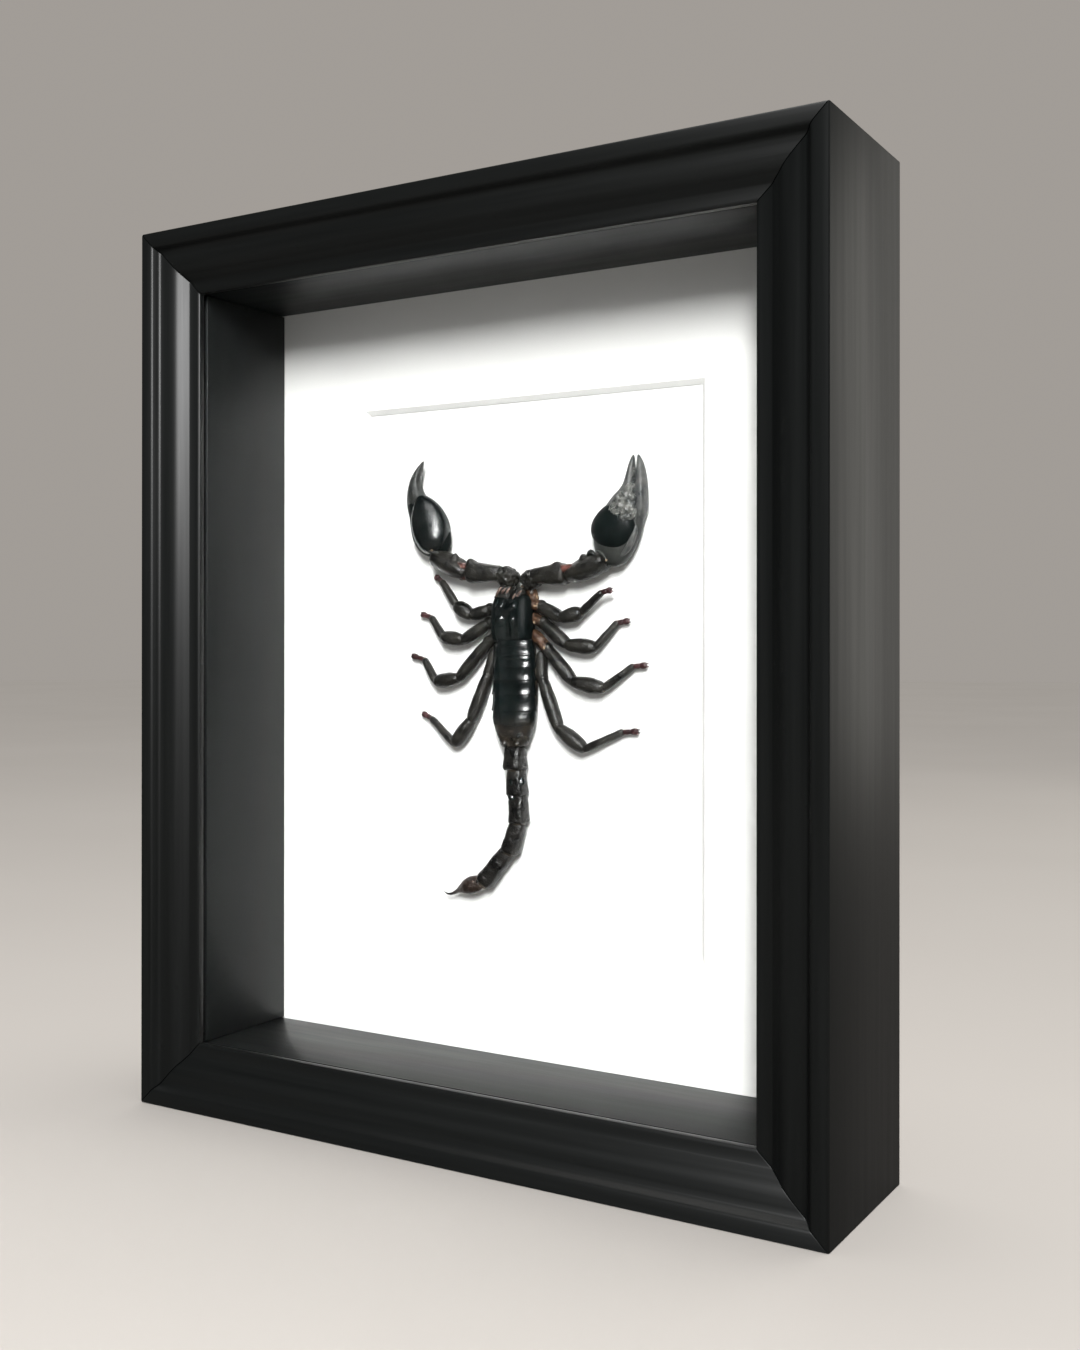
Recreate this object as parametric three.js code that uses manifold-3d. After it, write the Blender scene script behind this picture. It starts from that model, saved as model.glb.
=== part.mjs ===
// A dried forest scorpion on a white card, behind a window mat, in a deep black wooden box frame.
// Millimetres. +X is the viewer's right, +Z is up, and the glass looks towards -Y.
// The origin is the middle of the bottom edge of the whole object's box, where it stands.
import * as THREE from "three";
import { mergeVertices } from "three/addons/utils/BufferGeometryUtils.js";
import Module from "manifold-3d";

const wasm = await Module();
wasm.setup();

// Driving dimensions
const frameWidth = 232;
const frameHeight = 283;
const frameDepth = 57.6;
const gap = 0.3; // between pieces that touch
const railWall = 14.5; // thickness of a rail behind its lip
const railFace = 21; // width of a rail's moulded front, out to the sight edge
const lipRear = 7.1; // depth of the rebate's shoulder, which the glass lies on
const glassThickness = 2;
const spacerThickness = 5.5;
const spacerDepth = 39;
const matThickness = 1.5;
const cardThickness = 1.2;
const backingThickness = 2.5;
const windowWidth = 120; // the mat's opening at the card
const windowHeight = 168;
const hangerThickness = 1;
const nailHead = 0.9; // how far a hanger nail stands off the hanger
const specimenX = -1.24; // the waist of the scorpion, between carapace and abdomen
const specimenZ = 151.5;

// Depths of the layers behind the front of the frame
const totalDepth = frameDepth + gap + hangerThickness + gap + nailHead;
const front = -totalDepth / 2;
const glassFront = lipRear + gap;
const spacerFront = glassFront + glassThickness + gap;
const matFront = spacerFront + spacerDepth + gap;
const cardFront = matFront + matThickness + gap;
const backingFront = cardFront + cardThickness + gap;
const backingRear = backingFront + backingThickness;
const paneWidth = frameWidth - 2 * (railWall + gap);
const paneHeight = frameHeight - 2 * (railWall + gap);

const blackWood = new THREE.MeshStandardMaterial({ color: 0x1b1b1a, roughness: 0.42 });
const clearGlass = new THREE.MeshStandardMaterial({ color: 0xdfe8e6, roughness: 0.02 });
const whiteBoard = new THREE.MeshStandardMaterial({ color: 0xf4f3ef, roughness: 0.85 });
const hardboard = new THREE.MeshStandardMaterial({ color: 0x6e5a44, roughness: 0.85 });
const steel = new THREE.MeshStandardMaterial({ color: 0xb8b6ae, roughness: 0.35, metalness: 1 });
const shell = new THREE.MeshStandardMaterial({ color: 0x10161a, roughness: 0.25 });
const dullShell = new THREE.MeshStandardMaterial({ color: 0x25231f, roughness: 0.45 });

const root = new THREE.Group();

function addMesh(name, geometry, material, parent = root) {
  const mesh = new THREE.Mesh(geometry, material);
  mesh.name = name;
  parent.add(mesh);
  return mesh;
}

// A box given by its middle in x and z, its front depth and its size
function addSheet(name, material, x, z, depth, width, thickness, height) {
  const mesh = addMesh(name, new THREE.BoxGeometry(width, thickness, height), material);
  mesh.position.set(x, front + depth + thickness / 2, z);
  return mesh;
}

// A sheet that fills the frame from rail to rail
function addBoard(name, material, depth, thickness) {
  addSheet(name, material, 0, frameHeight / 2, depth, paneWidth, thickness, paneHeight);
}

function solidOf(geometry) {
  const bare = geometry.clone();
  bare.deleteAttribute("normal");
  bare.deleteAttribute("uv");
  const merged = mergeVertices(bare);
  const vertProperties = merged.attributes.position.array;
  const triVerts = new Uint32Array(merged.index.array);
  return new wasm.Manifold(new wasm.Mesh({ numProp: 3, vertProperties, triVerts }));
}

function geometryOf(solid) {
  const mesh = solid.getMesh();
  const geometry = new THREE.BufferGeometry();
  geometry.setAttribute("position", new THREE.BufferAttribute(mesh.vertProperties, 3));
  geometry.setIndex(new THREE.BufferAttribute(mesh.triVerts, 1));
  geometry.computeVertexNormals();
  return geometry;
}

// The rail's section: inward from the outer face, and back from the front of the frame
function railSection() {
  const edge = 0.7; // rounding of the outer corner
  const section = new THREE.Shape();
  section.moveTo(0, edge);
  section.quadraticCurveTo(0, 0, edge, 0);
  section.lineTo(4.2, 0);
  section.quadraticCurveTo(4.9, 0, 5.2, 0.6);
  section.lineTo(6.2, 2.1);
  section.quadraticCurveTo(6.4, 2.4, 6.8, 2.4);
  section.quadraticCurveTo(12.6, 2.2, 16.3, 5.2);
  section.lineTo(railFace - 0.7, 4.9);
  section.quadraticCurveTo(railFace, 4.9, railFace, 5.6);
  section.lineTo(railFace, lipRear);
  section.lineTo(railWall, lipRear);
  section.lineTo(railWall, frameDepth);
  section.lineTo(0, frameDepth);
  section.closePath();
  return section;
}

// One mitred rail: the section drawn out to its outer length, then both ends cut back at 45 degrees
function railGeometry(length) {
  const options = { depth: length, steps: 1, curveSegments: 3, bevelEnabled: false };
  const geometry = new THREE.ExtrudeGeometry(railSection(), options);
  const position = geometry.attributes.position;
  const joint = gap * Math.SQRT1_2; // half of the gap, measured along the rail
  for (let i = 0; i < position.count; i++) {
    const inward = position.getX(i) + joint;
    const atStart = position.getZ(i) < length / 2;
    position.setZ(i, atStart ? inward : length - inward);
  }
  return geometry.translate(0, 0, -length / 2);
}

// Rails are drawn upright as the left one, then turned round the middle of the frame.
function addRails() {
  const turns = [
    ["frame_rail_left", frameHeight, frameWidth, 0],
    ["frame_rail_top", frameWidth, frameHeight, 1],
    ["frame_rail_right", frameHeight, frameWidth, 2],
    ["frame_rail_bottom", frameWidth, frameHeight, 3],
  ];
  for (const [name, length, across, quarterTurns] of turns) {
    const holder = new THREE.Group();
    holder.position.set(0, front, frameHeight / 2);
    holder.rotation.y = (quarterTurns * Math.PI) / 2;
    const rail = addMesh(name, railGeometry(length), blackWood, holder);
    rail.position.x = -across / 2;
    root.add(holder);
  }
}

// The black strips inside the rails that hold the glass forward and the boards back
function addSpacers() {
  const middle = frameHeight / 2;
  const sideHeight = paneHeight - 2 * (spacerThickness + gap);
  const offX = (paneWidth - spacerThickness) / 2;
  const offZ = (paneHeight - spacerThickness) / 2;
  for (const [name, side] of [["spacer_left", -1], ["spacer_right", 1]]) {
    addSheet(name, blackWood, side * offX, middle, spacerFront, spacerThickness, spacerDepth, sideHeight);
  }
  for (const [name, side] of [["spacer_bottom", -1], ["spacer_top", 1]]) {
    const z = middle + side * offZ;
    addSheet(name, blackWood, 0, z, spacerFront, paneWidth, spacerDepth, spacerThickness);
  }
}

// The window mat: its opening is cut at 45 degrees, wider at the front.
function addMat() {
  const board = new THREE.BoxGeometry(paneWidth, matThickness, paneHeight);
  const reach = 1; // how far the cutter runs past both faces
  const cutter = new THREE.BoxGeometry(1, matThickness + 2 * reach, 1);
  const position = cutter.attributes.position;
  for (let i = 0; i < position.count; i++) {
    const y = position.getY(i);
    const spread = matThickness / 2 - y;
    position.setX(i, Math.sign(position.getX(i)) * (windowWidth / 2 + spread));
    position.setZ(i, Math.sign(position.getZ(i)) * (windowHeight / 2 + spread));
  }
  const cut = solidOf(board).subtract(solidOf(cutter));
  const mat = addMesh("mat_board", geometryOf(cut), whiteBoard);
  mat.position.set(0, front + matFront + matThickness / 2, frameHeight / 2);
}

// Steel points pressed into the rails behind the backing, two to a side
function addFlexPoints() {
  const thickness = 0.6;
  const width = 10;
  const reach = 9; // out from the rail's wall, over the backing
  const middle = frameHeight / 2;
  const depth = backingRear + gap;
  const offX = frameWidth / 2 - railWall - gap - reach / 2;
  const offZ = frameHeight / 2 - railWall - gap - reach / 2;
  const spots = [
    ["left", -offX, 60, true],
    ["right", offX, 60, true],
    ["bottom", 50, -offZ, false],
    ["top", 50, offZ, false],
  ];
  for (const [side, x, z, upright] of spots) {
    for (const [number, sign] of [[1, 1], [2, -1]]) {
      const px = upright ? x : x * sign;
      const pz = middle + (upright ? z * sign : z);
      const size = upright ? [reach, thickness, width] : [width, thickness, reach];
      addSheet(`flex_point_${side}_${number}`, steel, px, pz, depth, ...size);
    }
  }
}

// A sawtooth hanger on the back of the top rail, held by two round-headed nails
function addHanger() {
  const length = 44;
  const height = 9;
  const teeth = 11;
  const pitch = 2.4;
  const bite = 1.6; // depth of a tooth
  const centreZ = frameHeight - railWall / 2;
  const plate = new THREE.Shape();
  plate.moveTo(-length / 2, height / 2);
  plate.lineTo(-length / 2, -height / 2);
  for (let i = 0; i < teeth; i++) {
    const x = (i - (teeth - 1) / 2) * pitch;
    plate.lineTo(x - pitch / 2, -height / 2);
    plate.lineTo(x, -height / 2 + bite);
  }
  plate.lineTo(((teeth + 1) / 2) * pitch - pitch / 2, -height / 2);
  plate.lineTo(length / 2, -height / 2);
  plate.lineTo(length / 2, height / 2);
  plate.closePath();
  const options = { depth: hangerThickness, bevelEnabled: false };
  const hanger = addMesh("sawtooth_hanger", new THREE.ExtrudeGeometry(plate, options), steel);
  hanger.rotation.x = Math.PI / 2;
  hanger.position.set(0, front + frameDepth + gap + hangerThickness, centreZ);
  for (const [number, sign] of [[1, -1], [2, 1]]) {
    const head = new THREE.CylinderGeometry(1.3, 1.9, nailHead, 14);
    const nail = addMesh(`hanger_nail_${number}`, head, steel);
    nail.position.set(sign * 18, front + totalDepth - nailHead / 2, centreZ);
  }
}

// The scorpion. Its points are [x, z, lift]: right and up from its waist, and off the card.
const specimen = new THREE.Group();
specimen.position.set(specimenX, front + cardFront - gap, specimenZ);
root.add(specimen);

const place = ([x, z, lift]) => new THREE.Vector3(x, -lift, z);

// A closed body through stations { at, wide, thick }, given as half sizes across and off the card.
// square rounds the section off less, and under narrows what lies below its middle.
function loft(stations, { around = 12, square = 2, under = 1 } = {}) {
  const last = stations.length - 1;
  const centres = stations.map((station) => place(station.at));
  const frames = centres.map((centre, i) => {
    const ahead = centres[Math.min(i + 1, last)];
    const along = ahead.clone().sub(centres[Math.max(i - 1, 0)]).normalize();
    const off = new THREE.Vector3(0, -1, 0);
    off.addScaledVector(along, -off.dot(along)).normalize();
    return { centre, off, side: new THREE.Vector3().crossVectors(off, along) };
  });
  const soften = (value) => Math.sign(value) * Math.abs(value) ** (2 / square);
  const geometry = new THREE.CylinderGeometry(1, 1, 1, around, last, false);
  const position = geometry.attributes.position;
  const vertex = new THREE.Vector3();
  for (let i = 0; i < position.count; i++) {
    vertex.fromBufferAttribute(position, i);
    const index = Math.round((0.5 - vertex.y) * last);
    const { wide, thick } = stations[index];
    const { centre, off, side } = frames[index];
    const isAxis = Math.hypot(vertex.x, vertex.z) < 0.5;
    const across = isAxis ? 0 : soften(vertex.x) * (vertex.z < -0.1 ? under : 1);
    const up = isAxis ? 0 : soften(vertex.z);
    const point = centre.clone().addScaledVector(side, across * wide).addScaledVector(off, up * thick);
    position.setXYZ(i, point.x, point.y, point.z);
  }
  return geometry;
}

const mix = (a, b, t) => a.map((value, i) => value + (b[i] - value) * t);

// A limb segment: pinched at its joints and fullest between them
const podShape = [[0, 0.55], [0.12, 0.85], [0.5, 1], [0.82, 0.92], [1, 0.6]];

function pod(from, to, wide, thick, shape = podShape) {
  return shape.map(([t, full]) => ({ at: mix(from, to, t), wide: wide * full, thick: thick * full }));
}

// The carapace: a shield with a furrow down its middle and a notch in front, over narrower coxae
function addCarapace() {
  const stations = [
    { at: [-0.4, 0.1, 4.9], wide: 6.1, thick: 3.6 },
    { at: [-0.4, 0.9, 4.9], wide: 6.7, thick: 4.0 },
    { at: [-0.5, 3.2, 4.8], wide: 6.9, thick: 4.1 },
    { at: [-0.7, 6.2, 4.7], wide: 6.8, thick: 4.1 },
    { at: [-0.9, 9.4, 4.5], wide: 6.3, thick: 3.8 },
    { at: [-1.0, 12.2, 4.3], wide: 5.6, thick: 3.3 },
    { at: [-1.1, 13.6, 4.1], wide: 4.9, thick: 2.7 },
  ];
  const geometry = loft(stations, { around: 28, square: 2.3, under: 0.66 });
  const position = geometry.attributes.position;
  for (let i = 0; i < position.count; i++) {
    const [x, y, z] = [position.getX(i), position.getY(i), position.getZ(i)];
    const inward = Math.abs(x + 0.6);
    const isTop = y < -5.2;
    if (isTop && inward < 1.2 && z > 1.2) position.setY(i, y + 0.5 * (1 - inward / 1.2));
    if (z > 13 && inward < 1.6) position.setZ(i, z - 0.9 * (1 - inward / 1.6));
  }
  addMesh("carapace", geometry, shell, specimen);
}

// The abdomen: seven back plates, each lapping over the front of the next
function addMesosoma() {
  const edges = [-0.2, -2.7, -5.7, -9.4, -13.3, -17.8, -22.9, -33.9];
  const widths = [5.9, 6.3, 6.8, 7.2, 7.5, 7.6, 7.3];
  const stations = [];
  widths.forEach((wide, i) => {
    const [start, end] = [edges[i], edges[i + 1]];
    const isLast = i === widths.length - 1;
    const thick = 3.6 + 0.12 * i;
    const step = (t, w, h) =>
      stations.push({ at: [-0.3, start + (end - start) * t, 4.4], wide: wide * w, thick: thick * h });
    step(0.02, 0.96, 0.94);
    step(0.22, 0.99, 0.99);
    if (isLast) {
      step(0.45, 0.97, 0.98);
      step(0.7, 0.84, 0.88);
      step(0.9, 0.62, 0.7);
      step(1, 0.46, 0.5);
    } else {
      step(0.94, 1, 1.02);
    }
  });
  addMesh("mesosoma", loft(stations, { around: 18, square: 2.5 }), shell, specimen);
}

// Five tail segments, keeled and so nearly square, then the bulb with its sting
function addTail() {
  const segments = [
    [[-0.2, -34.6, 4.0], [-0.1, -40.9, 3.9], 3.6, 3.3],
    [[0.0, -41.4, 3.8], [0.4, -48.9, 3.7], 3.3, 3.1],
    [[0.5, -49.4, 3.6], [0.9, -57.4, 3.5], 3.1, 2.9],
    [[0.6, -58.4, 3.5], [-2.9, -66.5, 3.4], 2.9, 2.8],
    [[-3.9, -67.0, 3.4], [-11.9, -76.9, 3.4], 3.1, 2.8],
  ];
  const keeled = [[0, 0.72], [0.08, 0.92], [0.3, 0.9], [0.7, 1], [0.93, 1.04], [1, 0.74]];
  segments.forEach(([from, to, wide, thick], i) => {
    const geometry = loft(pod(from, to, wide, thick, keeled), { around: 14, square: 3 });
    addMesh(`tail_segment_${i + 1}`, geometry, dullShell, specimen);
  });
  const sting = [
    { at: [-12.5, -77.6, 3.5], wide: 1.5, thick: 1.5 },
    { at: [-13.7, -78.0, 3.6], wide: 2.5, thick: 2.3 },
    { at: [-16.4, -78.6, 3.7], wide: 2.9, thick: 2.7 },
    { at: [-19.4, -79.5, 3.6], wide: 2.2, thick: 2.1 },
    { at: [-21.6, -80.5, 3.4], wide: 1.1, thick: 1.1 },
    { at: [-23.4, -81.6, 3.1], wide: 0.65, thick: 0.65 },
    { at: [-25.2, -82.5, 2.9], wide: 0.45, thick: 0.45 },
    { at: [-26.6, -82.6, 2.9], wide: 0.32, thick: 0.32 },
    { at: [-27.5, -81.9, 3.0], wide: 0.12, thick: 0.12 },
  ];
  addMesh("telson", loft(sting, { around: 12 }), dullShell, specimen);
}

function addChelicerae() {
  const paths = [
    ["chelicera_left", [-2.9, 14.3, 3.5], [-2.5, 16.1, 1.9]],
    ["chelicera_right", [0.9, 14.4, 3.6], [1.2, 16.8, 2.4]],
  ];
  for (const [name, from, to] of paths) {
    addMesh(name, loft(pod(from, to, 1.55, 1.6), { around: 10 }), dullShell, specimen);
  }
}

// One pincer arm: every list starts at the head and runs out to the tips.
function addPedipalp(side, arm) {
  const part = (name, geometry, material) =>
    addMesh(`pedipalp_${side}_${name}`, geometry, material, specimen);
  part("coxa", loft(pod(...arm.coxa, 1.5, 1.6), { around: 10 }), dullShell);
  part("trochanter", loft(pod(...arm.trochanter, 2.5, 2.6), { around: 12, square: 2.6 }), dullShell);
  part("femur", loft(pod(...arm.femur, 3.5, 3.1), { around: 14, square: 3.2 }), dullShell);
  part("patella", loft(pod(...arm.patella, 3.8, 3.3), { around: 14, square: 2.8 }), dullShell);
  part("hand", loft(arm.hand, { around: 20 }), shell);
  part("movable_finger", loft(arm.finger, { around: 10 }), dullShell);
}

function addPedipalps() {
  addPedipalp("left", {
    coxa: [[-7.9, 11.2, 2.4], [-4.9, 15.6, 2.6]],
    trochanter: [[-0.5, 18.3, 4.0], [-5.4, 19.9, 4.2]],
    femur: [[-5.9, 20.0, 4.3], [-18.1, 20.3, 4.3]],
    patella: [[-19.3, 20.4, 4.3], [-28.3, 25.3, 4.3]],
    hand: [
      { at: [-29.0, 27.0, 4.5], wide: 2.9, thick: 2.4 },
      { at: [-29.3, 28.0, 4.5], wide: 4.7, thick: 3.2 },
      { at: [-30.2, 29.8, 4.6], wide: 6.2, thick: 4.0 },
      { at: [-31.2, 33.2, 4.7], wide: 7.1, thick: 4.5 },
      { at: [-32.4, 37.2, 4.7], wide: 6.8, thick: 4.5 },
      { at: [-34.2, 41.0, 4.6], wide: 5.2, thick: 3.9 },
      { at: [-36.2, 44.4, 4.5], wide: 3.1, thick: 3.0 },
      { at: [-37.3, 47.6, 4.5], wide: 2.1, thick: 2.2 },
      { at: [-37.1, 51.2, 4.4], wide: 1.6, thick: 1.7 },
      { at: [-35.9, 54.4, 4.2], wide: 1.1, thick: 1.2 },
      { at: [-34.1, 57.0, 4.0], wide: 0.2, thick: 0.2 },
    ],
    finger: [
      { at: [-39.5, 40.0, 2.2], wide: 0.8, thick: 1.0 },
      { at: [-40.0, 41.6, 2.2], wide: 1.1, thick: 1.4 },
      { at: [-40.5, 44.8, 2.2], wide: 1.1, thick: 1.5 },
      { at: [-40.4, 48.2, 2.1], wide: 1.0, thick: 1.4 },
      { at: [-39.5, 51.4, 2.0], wide: 0.9, thick: 1.2 },
      { at: [-38.0, 54.0, 1.9], wide: 0.7, thick: 0.9 },
      { at: [-36.0, 56.4, 1.9], wide: 0.15, thick: 0.2 },
    ],
  });
  addPedipalp("right", {
    coxa: [[6.3, 11.7, 2.4], [4.6, 15.8, 2.6]],
    trochanter: [[3.4, 17.6, 4.0], [7.0, 19.2, 4.2]],
    femur: [[8.1, 19.3, 4.3], [20.8, 18.9, 4.3]],
    patella: [[22.2, 19.0, 4.3], [31.3, 22.2, 4.3]],
    hand: [
      { at: [32.5, 24.0, 4.5], wide: 3.3, thick: 2.4 },
      { at: [32.9, 25.0, 4.5], wide: 5.3, thick: 3.2 },
      { at: [33.6, 27.4, 4.6], wide: 6.9, thick: 4.0 },
      { at: [34.5, 31.0, 4.7], wide: 7.6, thick: 4.5 },
      { at: [35.8, 35.0, 4.7], wide: 7.0, thick: 4.5 },
      { at: [37.1, 38.9, 4.6], wide: 5.3, thick: 3.9 },
      { at: [38.4, 42.6, 4.5], wide: 3.6, thick: 3.0 },
      { at: [39.3, 46.0, 4.5], wide: 1.9, thick: 2.2 },
      { at: [40.0, 49.4, 4.4], wide: 1.3, thick: 1.6 },
      { at: [40.4, 52.2, 4.2], wide: 0.9, thick: 1.1 },
      { at: [40.7, 54.4, 4.0], wide: 0.2, thick: 0.2 },
    ],
    finger: [
      { at: [43.5, 37.8, 3.7], wide: 0.5, thick: 1.2 },
      { at: [43.6, 39.2, 3.7], wide: 0.9, thick: 1.9 },
      { at: [43.6, 43.0, 3.7], wide: 1.3, thick: 2.0 },
      { at: [43.5, 46.6, 3.7], wide: 1.5, thick: 1.7 },
      { at: [43.2, 50.0, 3.7], wide: 1.0, thick: 1.4 },
      { at: [42.6, 52.6, 3.6], wide: 0.7, thick: 1.0 },
      { at: [42.2, 54.6, 3.6], wide: 0.15, thick: 0.2 },
    ],
  });
}

// A leg in one piece: joints from the body out to the claws, and each segment's half width
function legGeometry(joints, halfWidths) {
  const stations = [];
  halfWidths.forEach((wide, i) => {
    const thick = Math.min(wide, joints[i][2]) * 0.95;
    const segment = pod(joints[i], joints[i + 1], wide, thick);
    stations.push(...(i === 0 ? segment : segment.slice(1)));
  });
  return loft(stations, { around: 8 });
}

// The joints are the body, the trochanter, the two knees, the ankle and the tip.
function addLegs() {
  const joints = {
    left_1: [
      [-6.2, 9.6, 1.7], [-10.2, 8.9, 2.4], [-16.6, 7.0, 3.4],
      [-22.4, 10.4, 3.3], [-29.0, 18.0, 1.6], [-31.9, 19.9, 1.3],
    ],
    left_2: [
      [-6.2, 6.2, 1.7], [-10.6, 4.5, 2.4], [-19.6, -0.9, 3.4],
      [-27.7, 0.2, 3.2], [-33.0, 6.5, 1.6], [-37.5, 7.7, 1.3],
    ],
    left_3: [
      [-6.1, 2.3, 1.7], [-11.0, -0.9, 2.4], [-21.3, -13.0, 3.4],
      [-30.3, -14.2, 3.2], [-35.8, -7.2, 1.6], [-41.2, -5.8, 1.3],
    ],
    left_4: [
      [-8.7, -3.6, 1.7], [-11.1, -12.0, 2.4], [-16.7, -26.2, 3.2],
      [-23.1, -34.2, 3.0], [-33.0, -26.2, 1.6], [-36.9, -24.6, 1.3],
    ],
    right_1: [
      [4.8, 9.9, 1.7], [9.0, 9.2, 2.4], [16.1, 5.9, 3.4],
      [23.0, 7.5, 3.6], [30.4, 13.5, 4.4], [34.0, 14.2, 4.6],
    ],
    right_2: [
      [4.8, 6.1, 1.7], [9.4, 4.3, 2.4], [18.0, -2.2, 3.4],
      [27.8, -3.1, 3.3], [34.4, 4.3, 1.8], [38.3, 5.0, 1.4],
    ],
    right_3: [
      [5.0, 2.0, 1.7], [11.2, -4.8, 2.4], [20.0, -13.4, 3.4],
      [30.4, -15.5, 3.3], [39.6, -8.8, 1.7], [44.2, -8.3, 1.4],
    ],
    right_4: [
      [8.4, -5.6, 1.7], [9.0, -12.8, 2.4], [15.0, -27.8, 3.3],
      [23.9, -34.0, 3.2], [36.1, -28.5, 1.7], [41.4, -28.1, 1.4],
    ],
  };
  const halfWidths = [1.5, 2.1, 2.7, 1.6, 1.2];
  for (const [name, points] of Object.entries(joints)) {
    addMesh(`leg_${name}`, legGeometry(points, halfWidths), dullShell, specimen);
  }
}

addRails();
addBoard("glass_pane", clearGlass, glassFront, glassThickness);
addSpacers();
addMat();
addBoard("specimen_card", whiteBoard, cardFront, cardThickness);
addBoard("backing_board", hardboard, backingFront, backingThickness);
addFlexPoints();
addHanger();
addCarapace();
addMesosoma();
addTail();
addChelicerae();
addPedipalps();
addLegs();

export default root;
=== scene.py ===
"""A dried black forest scorpion on a white card, in a deep black wooden box frame with a window mat."""

from math import cos, pi, radians, sin

import bmesh
import bpy
from mathutils import Matrix, Vector


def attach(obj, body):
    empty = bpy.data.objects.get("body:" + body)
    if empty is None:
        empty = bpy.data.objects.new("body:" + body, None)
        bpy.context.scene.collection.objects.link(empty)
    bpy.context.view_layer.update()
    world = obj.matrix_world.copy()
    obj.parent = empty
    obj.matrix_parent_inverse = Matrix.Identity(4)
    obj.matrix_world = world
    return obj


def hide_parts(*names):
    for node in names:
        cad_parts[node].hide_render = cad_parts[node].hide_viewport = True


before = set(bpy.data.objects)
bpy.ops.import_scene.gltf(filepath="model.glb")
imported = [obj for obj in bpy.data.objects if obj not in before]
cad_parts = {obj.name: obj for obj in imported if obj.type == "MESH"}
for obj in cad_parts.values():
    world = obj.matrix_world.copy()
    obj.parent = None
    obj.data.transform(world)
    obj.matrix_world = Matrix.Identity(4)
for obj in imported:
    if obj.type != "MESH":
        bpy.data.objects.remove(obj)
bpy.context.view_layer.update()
bpy.context.scene.view_settings.view_transform = "Standard"

mm = 0.001
frame_width = 232
frame_height = 283
frame_front = -30.05
frame_middle = frame_height / 2
specimen_x = -1.24
specimen_z = 151.5
card_y = 20.45  # where the scorpion's underside lies, just off the card


# Working in edit mode


def deselect():
    """Leaves nothing selected, so that an operator acts on the new primitive alone."""
    bpy.ops.object.select_all(action="DESELECT")


def take_up(piece):
    """Leaves the piece selected alone, and active."""
    deselect()
    piece.select_set(True)
    bpy.context.view_layer.objects.active = piece


def edit(piece):
    take_up(piece)
    bpy.ops.object.mode_set(mode="EDIT")


def leave_edit():
    bpy.ops.object.mode_set(mode="OBJECT")


def pick(kind, test):
    """Selects what passes the test: a face by its middle, an edge by its ends, a corner by its place."""
    bpy.ops.mesh.select_mode(type=kind)
    bpy.ops.mesh.select_all(action="DESELECT")
    mesh = bpy.context.edit_object.data
    shape = bmesh.from_edit_mesh(mesh)
    if kind == "FACE":
        for face in shape.faces:
            face.select_set(bool(test(face.calc_center_median())))
    elif kind == "EDGE":
        for edge in shape.edges:
            if test(*(v.co for v in edge.verts)):
                edge.select_set(True)
    else:
        for corner in shape.verts:
            if test(corner.co):
                corner.select_set(True)
    shape.select_flush_mode()
    bmesh.update_edit_mesh(mesh)


def push(x, y, z):
    bpy.ops.mesh.extrude_region_move(TRANSFORM_OT_translate={"value": (x, y, z)})


def settle(piece):
    """Puts the piece's place into its mesh, with its object at the origin."""
    take_up(piece)
    bpy.ops.object.transform_apply(location=True, rotation=True, scale=True)


def apply_modifier(piece, kind, **settings):
    bpy.context.view_layer.objects.active = piece
    modifier = piece.modifiers.new(kind.title(), kind)
    for name, value in settings.items():
        setattr(modifier, name, value)
    bpy.ops.object.modifier_apply(modifier=modifier.name)


def ease_edges(piece, width, angle):
    """Rounds the edges that are sharper than an angle."""
    apply_modifier(
        piece, "BEVEL", width=width * mm, segments=2, limit_method="ANGLE", angle_limit=radians(angle)
    )


def smooth_by_angle(piece, angle):
    take_up(piece)
    bpy.ops.object.shade_smooth_by_angle(angle=radians(angle))


def smooth(piece):
    take_up(piece)
    bpy.ops.object.shade_smooth()


def join(name, pieces):
    deselect()
    for piece in pieces:
        piece.select_set(True)
    bpy.context.view_layer.objects.active = pieces[0]
    if len(pieces) > 1:
        bpy.ops.object.join()
    pieces[0].name = pieces[0].data.name = name
    return pieces[0]


def finish_piece(name, pieces, slot, *nodes):
    """Joins and names the piece, and states its body and the nodes that it stands for. Its slot, the name of
    its material, is not used.
    """
    piece = join(name, pieces)
    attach(piece, "root")
    if nodes:
        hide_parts(*nodes)


# Finishes


NOISE_RANGE = (0.3, 0.7)  # where most values of a noise texture lie
MIX_FACTOR, MIX_FIRST, MIX_SECOND, MIX_RESULT = 0, 6, 7, 2  # the colour sockets of a Mix node
BLUE_BLACK = ((0.3, (0.0012, 0.003, 0.003)), (0.72, (0.004, 0.0062, 0.006)))
GLASS_INDEX = 1.1  # low, so that little is mirrored in the glass


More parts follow.
